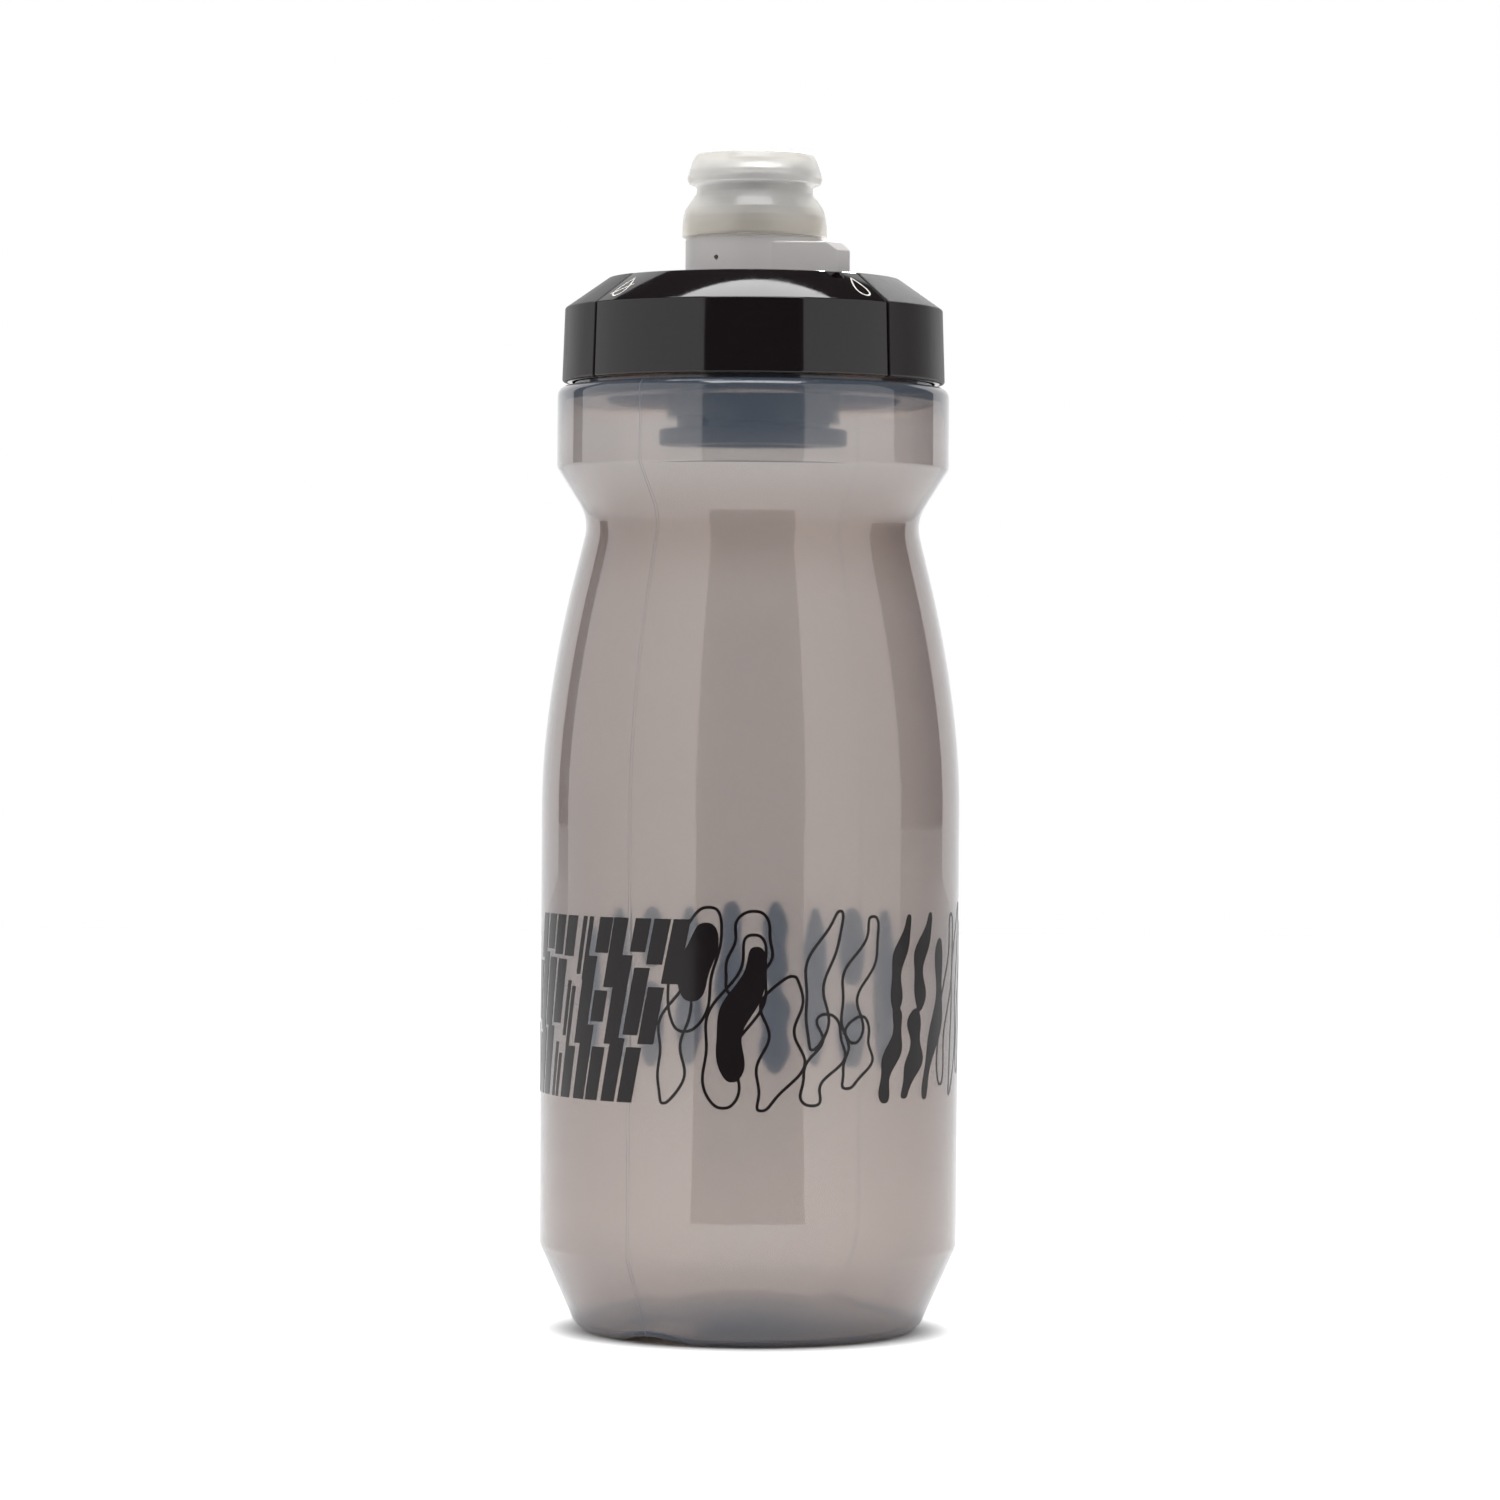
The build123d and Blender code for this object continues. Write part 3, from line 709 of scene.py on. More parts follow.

# %% [markdown]
# ## Milky silicone
#
# The bite valve lets light through but not shapes: much of the light goes in, and all of it is
# scattered.  A thin absorption warms what has gone a long way through it.  The foot of the valve, where
# it grips the dial's boss, has a painted warm glow: its colour is tinted amber there to stand in for the
# warm highlight that light puts on the skirt.  That painted tint has a mask of its own, which asks only
# how high a point is.

# %% Milky silicone with a painted warm glow at its foot
WARMTH, WARMTH_DENSITY = (0.985, 0.92, 0.76, 1.0), 32.0
# A painted warm glow: this amber tint stands in for the warm highlight of light on the valve's skirt.
PAINTED_GLOW_TINT = (1.0, 0.965, 0.905, 1.0)
PAINTED_GLOW_FULL_Z, PAINTED_GLOW_GONE_Z = 194.2, 197.2
silicone = new_finish(
    "milky_silicone", (0.98, 0.98, 0.98), (1.0, 1.0, 1.0), 0.32, 0.0, 4.0, 0.001,
    IOR=1.41, Transmission_Weight=0.80, Coat_Weight=0.35, Coat_Roughness=0.15,
)
tree = silicone.node_tree
warmth = put(tree, "ShaderNodeVolumeAbsorption", {"Color": WARMTH, "Density": WARMTH_DENSITY})
tree.links.new(warmth.outputs[0], tree.nodes["Material Output"].inputs["Volume"])
up_valve = put(tree, "ShaderNodeSeparateXYZ", {0: own_place(tree)}).outputs["Z"]
# The mask of the painted warm glow: full low on the valve, fading out higher up.
foot = fade(tree, up_valve, PAINTED_GLOW_FULL_Z * MM, PAINTED_GLOW_GONE_Z * MM, 1.0, 0.0)
silicone_base = tree.nodes["Principled BSDF"].inputs["Base Color"]
plain = silicone_base.links[0].from_socket
tree.links.new(mix_colours(tree, foot, plain, PAINTED_GLOW_TINT), silicone_base)
print("the valve is amber up to", PAINTED_GLOW_GONE_Z, "mm")

# %% [markdown]
# ## Polished black
#
# The cap is polished black plastic, so it shows little of itself and much of the lamps.  Between its
# side and its roof is a sloping edge that is very slightly crowned, which bends the gleam on it into an
# arch.  A crown of a fifth of a millimetre is too slight to be worth a new mesh, so a bump makes it, as
# high as a parabola across the edge.

# %% Polished black with a crowned edge
CONE_LOW, CONE_HIGH = (33.15, 179.2), (25.6, 184.5)  # radius and height at both sides of the edge
CROWN = 0.2
polished_black = new_finish(
    "polished_black", (0.007, 0.005, 0.006), (0.012, 0.009, 0.010), 0.06, 0.10, 2.5, 0.0015, IOR=1.5
)
tree = polished_black.node_tree
black_shader = tree.nodes["Principled BSDF"].inputs
level = put(
    tree, "ShaderNodeVectorMath", {0: own_place(tree), 1: (1.0, 1.0, 0.0)}, operation="MULTIPLY"
)
radius = put(tree, "ShaderNodeVectorMath", {0: level.outputs[0]}, operation="LENGTH").outputs["Value"]
across = fade(tree, radius, CONE_HIGH[0] * MM, CONE_LOW[0] * MM, -1.0, 1.0)
hollow = calc(tree, "MULTIPLY", across, across)
crown = {
    "Height": calc(tree, "SUBTRACT", 1.0, hollow),
    "Strength": 1.0,
    "Distance": CROWN * MM,
    "Normal": black_shader["Normal"].links[0].from_socket,
}
tree.links.new(put(tree, "ShaderNodeBump", crown).outputs[0], black_shader["Normal"])
print("the crown runs from radius", CONE_HIGH[0], "to", CONE_LOW[0], "mm")

# %% [markdown]
# ## Grips, dial, stem and seals
#
# The grips are the cap's black with a fine grain, so they are matte.  The dial is a light grey satin and
# its stem a dark grey.  The seals are pale silicone, dull from handling.  These parts keep their CAD
# meshes, so all they need is a finish each.

# %% The other finishes
grained_black = new_finish(
    "grained_black", (0.012, 0.010, 0.011), (0.019, 0.016, 0.017), 0.42, 0.15, 0.35, 0.012, IOR=1.45
)
satin_grey = new_finish(
    "satin_grey", (0.60, 0.575, 0.565), (0.66, 0.64, 0.63), 0.34, 0.15, 0.6, 0.006, IOR=1.46
)
dark_grey = new_finish(
    "dark_grey_moulding", (0.035, 0.034, 0.038), (0.055, 0.053, 0.058), 0.4, 0.1, 0.6, 0.006
)
seal_silicone = new_finish(
    "seal_silicone", (0.50, 0.50, 0.49), (0.58, 0.58, 0.57), 0.45, 0.1, 0.8, 0.004,
    Transmission_Weight=0.2,
)
NODE_FINISHES = {
    "cap_shell": polished_black,
    "cap_grip_left": grained_black,
    "cap_grip_right": grained_black,
    "dial_lever": satin_grey,
    "valve_stem": dark_grey,
    "cap_seal": seal_silicone,
    "shutter_seal": seal_silicone,
    "spigot_o_ring": seal_silicone,
    "stem_o_ring": seal_silicone,
}
for node, finish in NODE_FINISHES.items():
    dress(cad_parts[node], finish)
dress(valve_bite, silicone)
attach(valve_bite, "dial")
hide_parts("bite_valve")
print("dressed", sorted(NODE_FINISHES))

# %% [markdown]
# ## Wrapping a print round a surface
#
# The print is drawn flat: x runs round the bottle and y up it, in metres.  `Wrap Print` is a Geometry
# Nodes tree that turns flat art into a thin closed plate of ink on a barrel or on a cone.  It makes the
# plate first, while the art is still flat, and then bends it, so that ink has the same thickness all
# over.  The same tree puts the band on the bottle and the two marks on the cap's sloping edge.

# %% The wrapping tree
WELD = 0.0001 * MM  # points nearer than this are joined, which closes the plate's rim
wrap, given, made = new_group(
    "GeometryNodeTree",
    "Wrap Print",
    {
        "Art": ("Geometry", None),
        "Radius": ("Float", BARREL_R * MM),
        "Base Height": ("Float", 0.0),
        "Lean": ("Float", 0.0),
        "Lift": ("Float", 0.004 * MM),
        "Thickness": ("Float", 0.03 * MM),
        "Ink": ("Material", None),
    },
    {"Plate": ("Geometry", None)},
)
rise = put(wrap, "ShaderNodeCombineXYZ", {"Z": given["Thickness"]}).outputs[0]
upper = put(
    wrap, "GeometryNodeExtrudeMesh", {"Mesh": given["Art"], "Offset": rise, "Individual": False}
).outputs["Mesh"]
under = put(wrap, "GeometryNodeFlipFaces", {"Mesh": given["Art"]}).outputs[0]
joined = put(wrap, "GeometryNodeJoinGeometry")
for part in (upper, under):
    wrap.links.new(part, joined.inputs[0])
plate = put(wrap, "GeometryNodeMergeByDistance", {"Geometry": joined.outputs[0], "Distance": WELD})
flat = put(wrap, "ShaderNodeSeparateXYZ", {0: put(wrap, "GeometryNodeInputPosition").outputs[0]}).outputs
lean_sin = calc(wrap, "SINE", given["Lean"])
lean_cos = calc(wrap, "COSINE", given["Lean"])
above = calc(wrap, "ADD", flat["Z"], given["Lift"])
turn = calc(wrap, "DIVIDE", flat["X"], given["Radius"])
inward = calc(wrap, "MULTIPLY", flat["Y"], lean_sin)
radius = calc(wrap, "SUBTRACT", given["Radius"], inward)
radius = calc(wrap, "MULTIPLY_ADD", above, lean_cos, radius)
height = calc(wrap, "MULTIPLY_ADD", flat["Y"], lean_cos, given["Base Height"])
height = calc(wrap, "MULTIPLY_ADD", above, lean_sin, height)
wrapped = put(
    wrap,
    "ShaderNodeCombineXYZ",
    {
        "X": calc(wrap, "MULTIPLY", radius, calc(wrap, "SINE", turn)),
        "Y": calc(wrap, "MULTIPLY", radius, calc(wrap, "MULTIPLY", calc(wrap, "COSINE", turn), -1.0)),
        "Z": height,
    },
).outputs[0]
bent = put(wrap, "GeometryNodeSetPosition", {"Geometry": plate.outputs[0], "Position": wrapped})
solid = put(wrap, "GeometryNodeRealizeInstances", {"Geometry": bent.outputs[0]})
inked = put(wrap, "GeometryNodeSetMaterial", {"Geometry": solid.outputs[0], "Material": given["Ink"]})
wrap.links.new(inked.outputs[0], made["Plate"])
print(wrap.name, "has", len(wrap.nodes), "nodes")

# %% [markdown]
# ## Bars that follow a rule
#
# The left half of the band is a fence of slanted bars.  Every bar is cut twice, at heights drawn at
# random, so it is three grids, placed on a line of points.  The point's number says which bar
# it belongs to and which third of it this is.  The seed is fixed, so the fence is always the same.

# %% The fence tree: bars and cuts
CUT_SHARES = ((0.16, 0.42), (0.58, 0.86))  # how far up the fence each cut may fall
LEAN_HEIGHT = 58.0 * MM  # where a leaning bar is right above or below its upright place
fence, given, made = new_group(
    "GeometryNodeTree",
    "Slanted Fence",
    {
        "Art": ("Geometry", None),
        "Bars": ("Int", 9),
        "First": ("Float", -48.0 * MM),
        "Pitch": ("Float", 3.6 * MM),
        "Width": ("Float", 2.6 * MM),
        "Low": ("Float", 42.0 * MM),
        "High": ("Float", 73.5 * MM),
        "Slant": ("Float", 0.21),
        "Gap": ("Float", 0.6 * MM),
        "Seed": ("Int", 3),
        "Ink": ("Material", None),
    },
    {"Fence": ("Geometry", None)},
)
index = put(fence, "GeometryNodeInputIndex").outputs[0]
bar = calc(fence, "FLOOR", calc(fence, "DIVIDE", index, 3.0))
third = calc(fence, "MODULO", index, 3.0)
span = calc(fence, "SUBTRACT", given["High"], given["Low"])


def random_height(lowest, highest, seed_step):
    """A cut's height, drawn for each bar between two shares of the fence's height."""
    seed = calc(fence, "ADD", given["Seed"], seed_step)
    drawn = put(fence, "FunctionNodeRandomValue", {"Min": lowest, "Max": highest, "ID": bar, "Seed": seed})
    return calc(fence, "MULTIPLY_ADD", drawn.outputs["Value"], span, given["Low"])


first_cut = random_height(*CUT_SHARES[0], 0.0)
second_cut = random_height(*CUT_SHARES[1], 7.0)
half_gap = calc(fence, "MULTIPLY", given["Gap"], 0.5)


def by_third(values):
    """Whichever of three values belongs to this third of the bar."""
    total = 0.0
    for number, value in enumerate(values):
        is_it = calc(fence, "COMPARE", third, float(number), 0.1)
        total = calc(fence, "MULTIPLY_ADD", is_it, value, total)
    return total


starts = [given["Low"], calc(fence, "ADD", first_cut, half_gap), calc(fence, "ADD", second_cut, half_gap)]
ends = [
    calc(fence, "SUBTRACT", first_cut, half_gap),
    calc(fence, "SUBTRACT", second_cut, half_gap),
    given["High"],
]
bar_low, bar_high = by_third(starts), by_third(ends)

# %% The fence tree: placing and leaning
middle = calc(fence, "MULTIPLY", calc(fence, "ADD", bar_low, bar_high), 0.5)
line_x = calc(fence, "MULTIPLY_ADD", bar, given["Pitch"], given["First"])
from_lean = calc(fence, "SUBTRACT", middle, LEAN_HEIGHT)
leaning_x = calc(fence, "MULTIPLY_ADD", from_lean, given["Slant"], line_x)
where = put(fence, "ShaderNodeCombineXYZ", {"X": leaning_x, "Y": middle}).outputs[0]
count = calc(fence, "MULTIPLY", given["Bars"], 3.0)
posts = put(fence, "GeometryNodeMeshLine", {"Count": count, "Offset": (0.0, 0.0, 0.0)}).outputs[0]
placed = put(fence, "GeometryNodeSetPosition", {"Geometry": posts, "Position": where}).outputs[0]
grid = put(
    fence,
    "GeometryNodeMeshGrid",
    {"Size X": given["Width"], "Size Y": 1.0, "Vertices X": 4, "Vertices Y": 9},
).outputs[0]
stretch = put(
    fence, "ShaderNodeCombineXYZ", {"X": 1.0, "Y": calc(fence, "SUBTRACT", bar_high, bar_low), "Z": 1.0}
).outputs[0]
bars = put(fence, "GeometryNodeInstanceOnPoints", {"Points": placed, "Instance": grid, "Scale": stretch})
real = put(fence, "GeometryNodeRealizeInstances", {"Geometry": bars.outputs[0]}).outputs[0]
corner = put(fence, "ShaderNodeSeparateXYZ", {0: put(fence, "GeometryNodeInputPosition").outputs[0]}).outputs
corner_lean = calc(fence, "MULTIPLY", calc(fence, "SUBTRACT", corner["Y"], LEAN_HEIGHT), given["Slant"])
offset = put(fence, "ShaderNodeCombineXYZ", {"X": corner_lean}).outputs[0]
slanted = put(fence, "GeometryNodeSetPosition", {"Geometry": real, "Offset": offset}).outputs[0]
inked = put(fence, "GeometryNodeSetMaterial", {"Geometry": slanted, "Material": given["Ink"]})
fence.links.new(inked.outputs[0], made["Fence"])
print(fence.name, "has", len(fence.nodes), "nodes")


# %% [markdown]
# `grow` puts trees on a mesh, sets their inputs, and keeps the result as a plain mesh with no modifier
# left on it.


# %% Run trees on a mesh and keep the result
INK_SHARP = 35.0


def grow(name, mesh, *steps):
    """A piece from a flat mesh and some (tree, {input: value}) steps, as a plain smooth mesh."""
    piece = bpy.data.objects.new(name, mesh)
    scene.collection.objects.link(piece)
    for step_tree, values in steps:
        modifier = piece.modifiers.new(step_tree.name, "NODES")
        modifier.node_group = step_tree
        for item in step_tree.interface.items_tree:
            if item.in_out == "INPUT" and item.name in values:
                modifier[item.identifier] = values[item.name]
    graph = bpy.context.evaluated_depsgraph_get()
    grown = bpy.data.meshes.new_from_object(piece.evaluated_get(graph), depsgraph=graph)
    piece.modifiers.clear()
    piece.data = grown
    smooth(grown, INK_SHARP)
    return piece


# %% [markdown]
# ## Shapes of the band
#
# The right half of the band is drawn with one kind of shape, a tall pebble that leans, narrows in
# places and sways.  Some pebbles are only a thin line, and some are filled with ink.  `loop_of_line`
# gives a closed line its width.  `filled` covers a shape with triangles, with extra points inside it,
# so that a wide patch can still bend round the bottle.


# %% Pebbles, lines and filled patches
BLUNTNESS = 0.75  # under 1 it makes a pebble's sides fuller than an ellipse's
SWAY_TURN = 7.0  # how many radians of swaying there are from a pebble's foot to its head


def pebble(x, low, high, width, pinch, sway, phase, slant=0.2, count=96):
    """The closed outline of a leaning pebble, as (x, y) in mm, anticlockwise."""
    outline = []
    for step in range(count):
        turn = 2 * math.pi * step / count
        up = (math.sin(turn) + 1) / 2
        side = math.copysign(abs(math.cos(turn)) ** BLUNTNESS, math.cos(turn))
        narrowing = 1 - pinch * (0.5 + 0.5 * math.cos(4 * math.pi * up + phase))
        middle = x + slant * (up - 0.5) * (high - low) + sway * math.sin(SWAY_TURN * up + phase)
        outline.append(Vector((middle + side * narrowing * width / 2, low + up * (high - low))))
    return outline


def loop_of_line(outline, width):
    """Points and faces of a closed line of a width that follows an outline."""
    points, faces, count = [], [], len(outline)
    for at, here in enumerate(outline):
        along = (outline[(at + 1) % count] - outline[at - 1]).normalized()
        across = Vector((along.y, -along.x)) * width / 2
        points += [here + across, here - across]
        right, left = 2 * at, 2 * at + 1
        faces.append((right, 2 * ((at + 1) % count), 2 * ((at + 1) % count) + 1, left))
    return points, faces


def filled(outline, spacing=1.1, margin=0.35, tolerance=1e-6):
    """Points and triangles that cover an outline, with a loose grid of points inside it."""
    xs, ys = zip(*outline)
    inner = []
    for x in np.arange(min(xs), max(xs), spacing):
        for y in np.arange(min(ys), max(ys), spacing * 2):
            if is_within(x, y, outline, margin):
                inner.append(Vector((x, y)))
    loop = list(range(len(outline)))
    inside_only = 1
    covered = delaunay_2d_cdt(list(outline) + inner, [], [loop], inside_only, tolerance)
    return covered[0], [tuple(face) for face in covered[2]]


def is_within(x, y, outline, margin):
    """True where a point is inside an outline and not nearer to its corners than a margin."""
    inside = False
    for (x1, y1), (x2, y2) in zip(outline, outline[1:] + outline[:1]):
        if (y1 > y) != (y2 > y) and x < (x2 - x1) * (y - y1) / (y2 - y1) + x1:
            inside = not inside
        if math.hypot(x1 - x, y1 - y) < margin:
            return False
    return inside


def flat_mesh(name, parts):
    """One flat mesh from several (points, faces) in mm."""
    points, faces = [], []
    for part_points, part_faces in parts:
        start = len(points)
        points += [(x * MM, y * MM, 0.0) for x, y in part_points]
        faces += [tuple(start + corner for corner in face) for face in part_faces]
    mesh = bpy.data.meshes.new(name)
    mesh.from_pydata(points, [], faces)
    return mesh


# %% [markdown]
# The ink is a soft black with a little of its own gloss.  The marks on the cap are a warm white.

# %% The two inks
black_ink = new_finish(
    "black_ink", (0.007, 0.005, 0.006), (0.014, 0.011, 0.012), 0.16, 0.2, 0.4, 0.003, IOR=1.37
)
white_ink = new_finish(
    "white_ink", (0.76, 0.74, 0.70), (0.84, 0.82, 0.76), 0.5, 0.1, 0.4, 0.004
)
print("inks:", black_ink.name, "and", white_ink.name)

# %% [markdown]
# The front of the band: thin loops with two black pebbles inside them, narrower black pebbles to their
# right, and thin loops again where the band turns out of sight.  Every row is one pebble, in
# millimetres: where its middle is round the bottle, its lower and upper end, its width, how far it is
# pinched, how far it sways, and where on the wave it starts.

# %% Draw the front of the band
LINE_WIDTH = 0.52
LOOPS = [
    (-13.2, 42.2, 62.5, 5.6, 0.35, 0.8, 0.4),
    (-9.6, 54.5, 75.6, 8.4, 0.10, 0.5, 1.1),
    (-2.6, 41.6, 71.0, 8.8, 0.45, 1.4, 2.2),
    (-0.2, 60.8, 75.0, 7.6, 0.20, 0.5, 4.2),
    (5.2, 41.2, 64.0, 8.6, 0.50, 1.0, 5.4),
    (12.4, 51.5, 75.0, 4.8, 0.38, 1.1, 0.9),
    (12.8, 42.0, 57.5, 6.6, 0.45, 1.2, 3.4),
    (19.6, 52.5, 74.0, 5.6, 0.50, 1.2, 1.9),
    (19.2, 44.8, 57.0, 5.8, 0.30, 0.7, 5.0),
    (43.6, 44.5, 73.8, 4.2, 0.40, 0.9, 2.6),
    (48.6, 42.5, 75.4, 4.0, 0.35, 0.8, 0.2),
    (54.0, 46.0, 72.0, 4.4, 0.30, 0.6, 3.0),
]
DARK_PEBBLES = [
    (-8.9, 59.6, 73.0, 6.0, 0.05, 0.4, 2.2),
    (-1.6, 46.0, 69.0, 6.4, 0.30, 1.1, 2.0),
    (26.6, 42.0, 58.4, 4.2, 0.48, 0.6, 3.0),
    (28.6, 57.2, 74.2, 3.6, 0.40, 0.6, 1.4),
    (32.0, 42.6, 58.0, 5.0, 0.45, 0.8, 4.6),
    (34.6, 57.4, 74.4, 4.2, 0.42, 0.9, 1.2),
    (38.9, 42.2, 69.8, 4.4, 0.52, 1.0, 4.0),
]
front_parts = [loop_of_line(pebble(*row), LINE_WIDTH) for row in LOOPS]
front_parts += [filled(pebble(*row)) for row in DARK_PEBBLES]
wrapping = {"Radius": BARREL_R * MM, "Ink": black_ink}
print_shapes = grow("print_shapes", flat_mesh("front_art", front_parts), (wrap, wrapping))
describe(print_shapes)

# %% [markdown]
# The fence is in three runs: broad bars at both ends, and two columns of narrow dashes between them.
# Every row says how many bars a run has, where the first one stands, how far apart they are, how broad
# they are, how wide the cuts are, and the seed for the heights of the cuts.

# %% Draw the fence
FENCES = {
    "print_bars_left": (4, -53.2, 3.9, 3.1, 0.6, 3),
    "print_dashes": (2, -37.5, 1.8, 1.1, 1.2, 11),
    "print_bars_right": (5, -32.6, 3.9, 3.1, 0.6, 5),
}


def fence_inputs(bars, first, pitch, width, gap, seed):
    """The fence tree's inputs from the number of bars, four lengths in mm and a seed."""
    lengths = {"First": first, "Pitch": pitch, "Width": width, "Gap": gap}
    return {"Bars": bars, "Seed": seed} | {label: size * MM for label, size in lengths.items()}


empty = flat_mesh("no_art", [])
fences = [
    grow(name, empty, (fence, fence_inputs(*row)), (wrap, wrapping)) for name, row in FENCES.items()
]
for piece in fences:
    describe(piece)

# %% [markdown]
# The back of the band is bolder: broad upright pills, some of them pinched and some cut in two.
# Through the hazy bottle they show as soft blue-grey shadows.  x is measured from the middle of the back
# here.  Every row is x, the lower and upper end, the width, how far it is pinched, and where.

# %% Draw the back of the band
HALF_WAY = math.pi * BARREL_R  # from the middle of the front to the middle of the back
BACK = [
    (-27.5, 44.0, 73.0, 5.2, 0.0, 0.0),
    (-20.0, 44.0, 56.0, 5.6, 0.0, 0.0),
    (-20.0, 59.0, 73.0, 5.6, 0.0, 0.0),
    (-12.4, 44.0, 73.0, 5.0, 0.25, 0.0),
    (-4.8, 42.5, 58.5, 6.6, 0.30, 0.0),
    (-4.8, 57.5, 74.0, 5.4, 0.30, 0.0),
    (3.4, 42.5, 74.0, 6.2, 0.35, 3.1),
    (11.4, 44.0, 73.0, 6.0, 0.30, 0.0),
    (19.0, 44.0, 59.5, 5.0, 0.0, 0.0),
    (19.0, 62.0, 73.0, 5.0, 0.0, 0.0),
    (26.4, 44.0, 73.0, 5.4, 0.2, 3.1),
    (33.6, 46.0, 70.0, 4.6, 0.0, 0.0),
]
back_parts = [
    filled(pebble(HALF_WAY + x, low, high, width, pinch, sway=0.0, phase=phase, slant=0.0))
    for x, low, high, width, pinch, phase in BACK
]
print_back = grow("print_back", flat_mesh("back_art", back_parts), (wrap, wrapping))
describe(print_back)

# %% [markdown]
# ## Marks on the cap
#
# Two small drops on the cap's sloping edge say which way the dial opens: an open drop, and one crossed
# out.  They are drawn flat too, and wrapped on the cone between the cap's side and its roof.

# %% Draw the cap's marks
cone_lean = math.atan2(CONE_LOW[0] - CONE_HIGH[0], CONE_HIGH[1] - CONE_LOW[1])
MARK_LINE = 0.30
OPEN_AZIMUTH, CLOSED_AZIMUTH = 37.5, -49.0
DROP_LOW, DROP_HIGH, DROP_WIDTH = 1.6, 7.2, 3.4
CROSS_HALF_WIDTH, CROSS_LOW, CROSS_HIGH = 1.9, 2.2, 5.2


def drop_outline(x, low, high, width, count=48):
    """The outline of a drop with its tip up, as (x, y) in mm."""
    outline = []
    for step in range(count):
        turn = 2 * math.pi * step / count
        up = (1 - math.cos(turn)) / 2
        half = 0.5 * width * math.sin(turn) * math.sin(turn / 2)
        outline.append(Vector((x + half, high - up * (high - low))))
    return outline[::-1]


def straight_line(start, end, width, pieces=5):
    """Points and faces of a short straight line in flat art."""
    start, end = Vector(start), Vector(end)
    along = (end - start).normalized()
    across = Vector((along.y, -along.x)) * width / 2
    points = []
    for part in np.linspace(0, 1, pieces + 1):
        spot = start.lerp(end, part)
        points += [spot + across, spot - across]
    return points, [(2 * at, 2 * at + 2, 2 * at + 3, 2 * at + 1) for at in range(pieces)]


open_x, closed_x = (math.radians(azimuth) * CONE_LOW[0] for azimuth in (OPEN_AZIMUTH, CLOSED_AZIMUTH))
mark_parts = [
    loop_of_line(drop_outline(x, DROP_LOW, DROP_HIGH, DROP_WIDTH), MARK_LINE) for x in (open_x, closed_x)
]
cross_start = (closed_x - CROSS_HALF_WIDTH, CROSS_LOW)
cross_end = (closed_x + CROSS_HALF_WIDTH, CROSS_HIGH)
mark_parts.append(straight_line(cross_start, cross_end, MARK_LINE))
on_cone = {
    "Radius": CONE_LOW[0] * MM,
    "Base Height": CONE_LOW[1] * MM,
    "Lean": cone_lean,
    "Lift": 0.01 * MM,
    "Ink": white_ink,
}
cap_marks = grow("cap_marks", flat_mesh("mark_art", mark_parts), (wrap, on_cone))
describe(cap_marks)
for piece in (print_shapes, print_back, *fences):
    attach(piece, "bottle")
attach(cap_marks, "cap")

# %% [markdown]
# ## The studio
#
# What the eye sees in a glossy thing is mostly the lights round it, so the lights are part of its looks.
# A wide bright sheet behind the bottle makes its two bright edges.  A tall panel on either side of the
# camera makes a broad soft reflection, and between the two is a darker stripe.  A sheet of light is a
# plane that only glows.

# %% Sheets of light
PANEL_RIGHT, PANEL_LEFT = 59.5, -74.0  # azimuths of the panels' middles


def glowing(name):
    """A material that only gives off white light."""
    material = bpy.data.materials.new(name)
    material.use_nodes = True
    tree = material.node_tree
    tree.nodes.remove(tree.nodes["Principled BSDF"])
    glow = put(tree, "ShaderNodeEmission", {"Strength": 1.0})
    tree.links.new(glow.outputs[0], tree.nodes["Material Output"].inputs["Surface"])
    return material


def upright_sheet(name, azimuth, distance, width, low, high):
    """A glowing sheet that stands at an azimuth and faces the bottle.  Lengths are metres."""
    angle = from_azimuth(azimuth)
    middle = Vector((math.cos(angle), math.sin(angle), 0.0)) * distance
    side = Vector((-math.sin(angle), math.cos(angle), 0.0)) * width / 2
    corners = [middle - side, middle + side, middle + side, middle - side]
    points = [(spot.x, spot.y, z) for spot, z in zip(corners, (low, low, high, high))]
    sheet = new_piece(name, points, [(0, 1, 2, 3)])
    dress(sheet, glowing(name))
    return sheet


upright_sheet("backdrop", 180.0, distance=1.6, width=3.7, low=-0.5, high=1.7)
panels = [
    upright_sheet("panel_right", PANEL_RIGHT, distance=1.1, width=1.27, low=0.0, high=1.4),
    upright_sheet("panel_left", PANEL_LEFT, distance=1.1, width=2.16, low=0.0, high=1.4),
]
for panel in panels:
    panel.visible_camera = False
    describe(panel)

# %% [markdown]
# Three lamps do what the sheets can't.  A soft oval one overhead draws the gleam on the cap's sloping
# edge, a wide one high up in front lights the dial and the valve, and a snoot, which is a spot with a
# narrow cone, shines through the valve from behind.

# %% Lamps
CAP_EDGE_Z, VALVE_Z = 0.178, 0.190  # heights that the lamps look at
SNOOT_CONE = math.radians(10.0)


def hang_lamp(name, kind, place, aim_height, **settings):
    """A lamp that looks at a height on the bottle's axis and doesn't show to the camera."""
    lamp = bpy.data.lights.new(name, kind)
    for label, value in settings.items():
        setattr(lamp, label, value)
    holder = bpy.data.objects.new(name, lamp)
    holder.location = place
    aim = Vector((0.0, 0.0, aim_height)) - Vector(place)
    holder.rotation_euler = aim.to_track_quat("-Z", "Y").to_euler()
    holder.visible_camera = False
    scene.collection.objects.link(holder)
    print(name, "hangs", round(aim.length, 2), "m away and gives", round(lamp.energy, 1), "W")


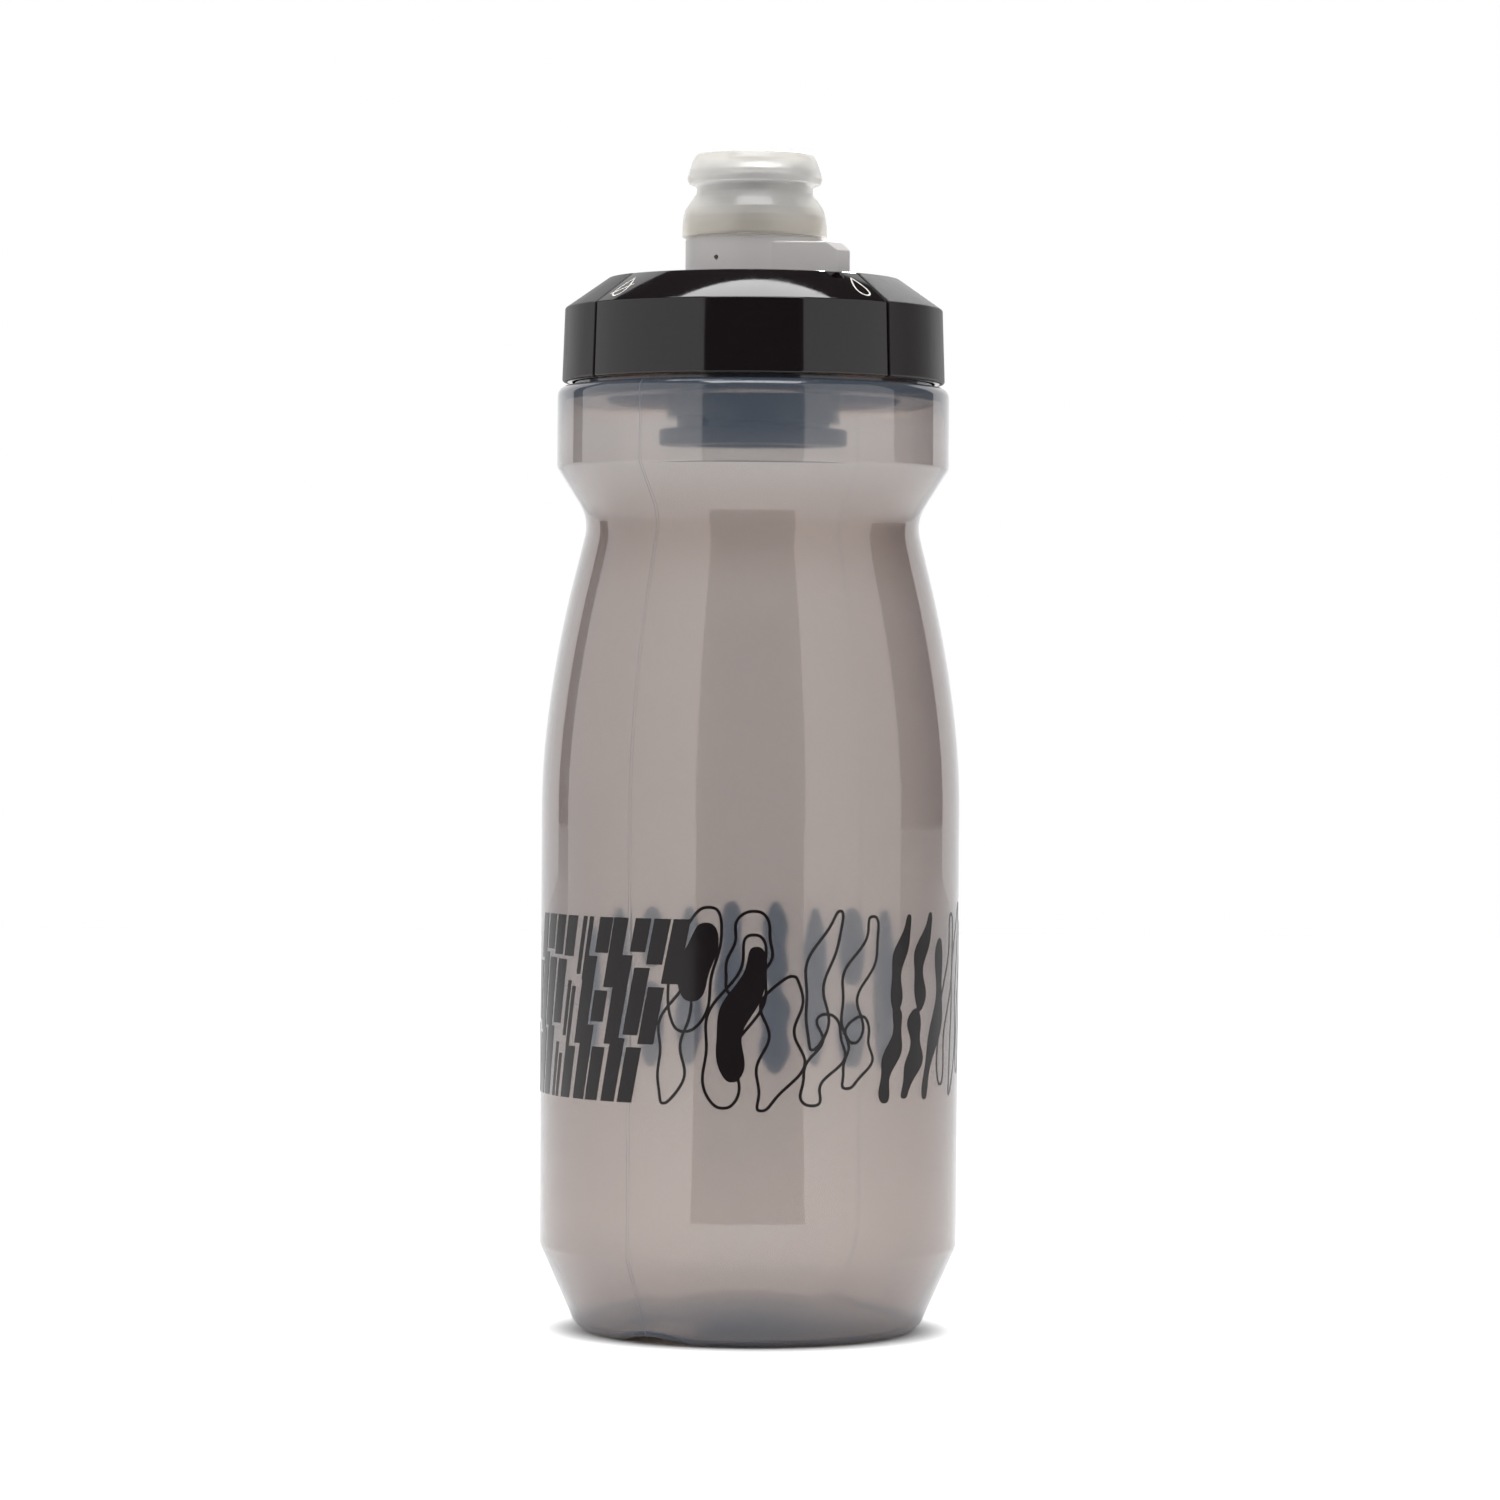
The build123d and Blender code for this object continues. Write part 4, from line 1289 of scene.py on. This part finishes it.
hang_lamp(
    "overhead", "AREA", (-0.02, 0.18, 1.0), CAP_EDGE_Z, shape="ELLIPSE", size=0.72, size_y=0.36, energy=4.2
)
hang_lamp(
    "front_top", "AREA", (0.0, -0.45, 1.15), CAP_EDGE_Z, shape="RECTANGLE", size=0.8, size_y=0.5, energy=8.0
)
hang_lamp(
    "snoot", "SPOT", (0.04, 0.45, 0.45), VALVE_Z,
    energy=20.0, spot_size=SNOOT_CONE, spot_blend=0.8, shadow_soft_size=0.06,
)

# %% [markdown]
# The bottle stands on a sheet of white paper.  A wedge of the paper is cut away towards the camera,
# because its reflection would round off the foot of the dark stripe between the panels.  The paper glows
# a little, as it would in a light tent, but its glow is faded out under the bottle and close round it,
# where little light would get to: that is a painted contact shadow.

# %% Floor
NEAR, FAR = 0.25, 4.0  # past NEAR the paper is cut away between the panels' azimuths
GAP = (-29.4, 29.0)
SHADE_DARK, SHADE_GONE = 27.0 * MM, 38.0 * MM  # distances from the axis
PAPER_GLOW, PAPER_GLOW_SEEN = 0.35, 0.65
around = [from_azimuth(azimuth) for azimuth in np.linspace(GAP[1], GAP[0] + 360.0, 61)]
across_gap = [from_azimuth(azimuth) for azimuth in np.linspace(GAP[0], GAP[1], 12)[1:-1]]
rims = [(NEAR, angle) for angle in around + across_gap] + [(FAR, angle) for angle in around]
points = [(radius * math.cos(angle), radius * math.sin(angle), 0.0) for radius, angle in rims]
disc, count = len(around + across_gap), len(around)
faces = [tuple(range(disc))]
faces += [(at, at + disc, at + disc + 1, at + 1) for at in range(count - 1)]
floor = new_piece("floor", points, faces)

# %% Paper
paper = new_finish("white_paper", (0.80, 0.80, 0.80), (0.82, 0.82, 0.82), 0.9, 0.0, 1.0, 0.0)
tree = paper.node_tree
paper_shader = tree.nodes["Principled BSDF"].inputs
seen = put(tree, "ShaderNodeLightPath").outputs["Is Camera Ray"]
from_axis = put(tree, "ShaderNodeVectorMath", {0: own_place(tree)}, operation="LENGTH").outputs["Value"]
# Painted contact shadow: the paper's glow is faded out under the bottle and close round it.
outside_painted_shadow = fade(tree, from_axis, SHADE_DARK, SHADE_GONE, interpolation_type="SMOOTHSTEP")
glow = calc(tree, "MULTIPLY_ADD", seen, PAPER_GLOW_SEEN - PAPER_GLOW, PAPER_GLOW)
tree.links.new(calc(tree, "MULTIPLY", glow, outside_painted_shadow), paper_shader["Emission Strength"])
paper_shader["Emission Color"].default_value = WHITE
paper_shader["Specular IOR Level"].default_value = 0.0
dress(floor, paper)
describe(floor)

# %% [markdown]
# The room is white to the camera, and nearly dark to everything else, so that only the sheets and the
# lamps are reflected.

# %% Surroundings
ROOM_DIM, ROOM_SEEN = 0.03, 1.0
world = bpy.data.worlds.new("studio")
scene.world = world
world.use_nodes = True
tree = world.node_tree
seen = put(tree, "ShaderNodeLightPath").outputs["Is Camera Ray"]
surround = put(tree, "ShaderNodeMix", {"Factor": seen, "A": ROOM_DIM, "B": ROOM_SEEN}, data_type="FLOAT")
tree.links.new(surround.outputs["Result"], tree.nodes["Background"].inputs["Strength"])
tree.nodes["Background"].inputs["Color"].default_value = WHITE
scene.view_settings.view_transform = "Standard"
print("the room gives", ROOM_DIM, "of the backdrop's light")

# %% [markdown]
# ## The camera
#
# A long lens from nearly a metre away, at about the height of the bottle's middle, keeps the sides
# upright and parallel.  It looks down by about half a degree, and it is rolled by a little less.

# %% Place the camera
LENS, SENSOR = 131.7, 36.0
PITCH, ROLL = math.radians(0.574), math.radians(0.39)
CAMERA_PLACE = (-0.00018, -0.965, 0.1116)
right = Vector((1.0, 0.0, 0.0))
up = Vector((0.0, math.sin(PITCH), math.cos(PITCH)))
ahead = Vector((0.0, math.cos(PITCH), -math.sin(PITCH)))
rolled_right = right * math.cos(ROLL) + up * math.sin(ROLL)
rolled_up = up * math.cos(ROLL) - right * math.sin(ROLL)
camera = bpy.data.objects.new("camera", bpy.data.cameras.new("camera"))
camera.data.lens, camera.data.sensor_width = LENS, SENSOR
axes = Matrix((rolled_right, rolled_up, -ahead)).transposed().to_4x4()
camera.matrix_world = Matrix.Translation(CAMERA_PLACE) @ axes
scene.collection.objects.link(camera)
scene.camera = camera
print("the camera is", round(-CAMERA_PLACE[1], 2), "m away with a", LENS, "mm lens")
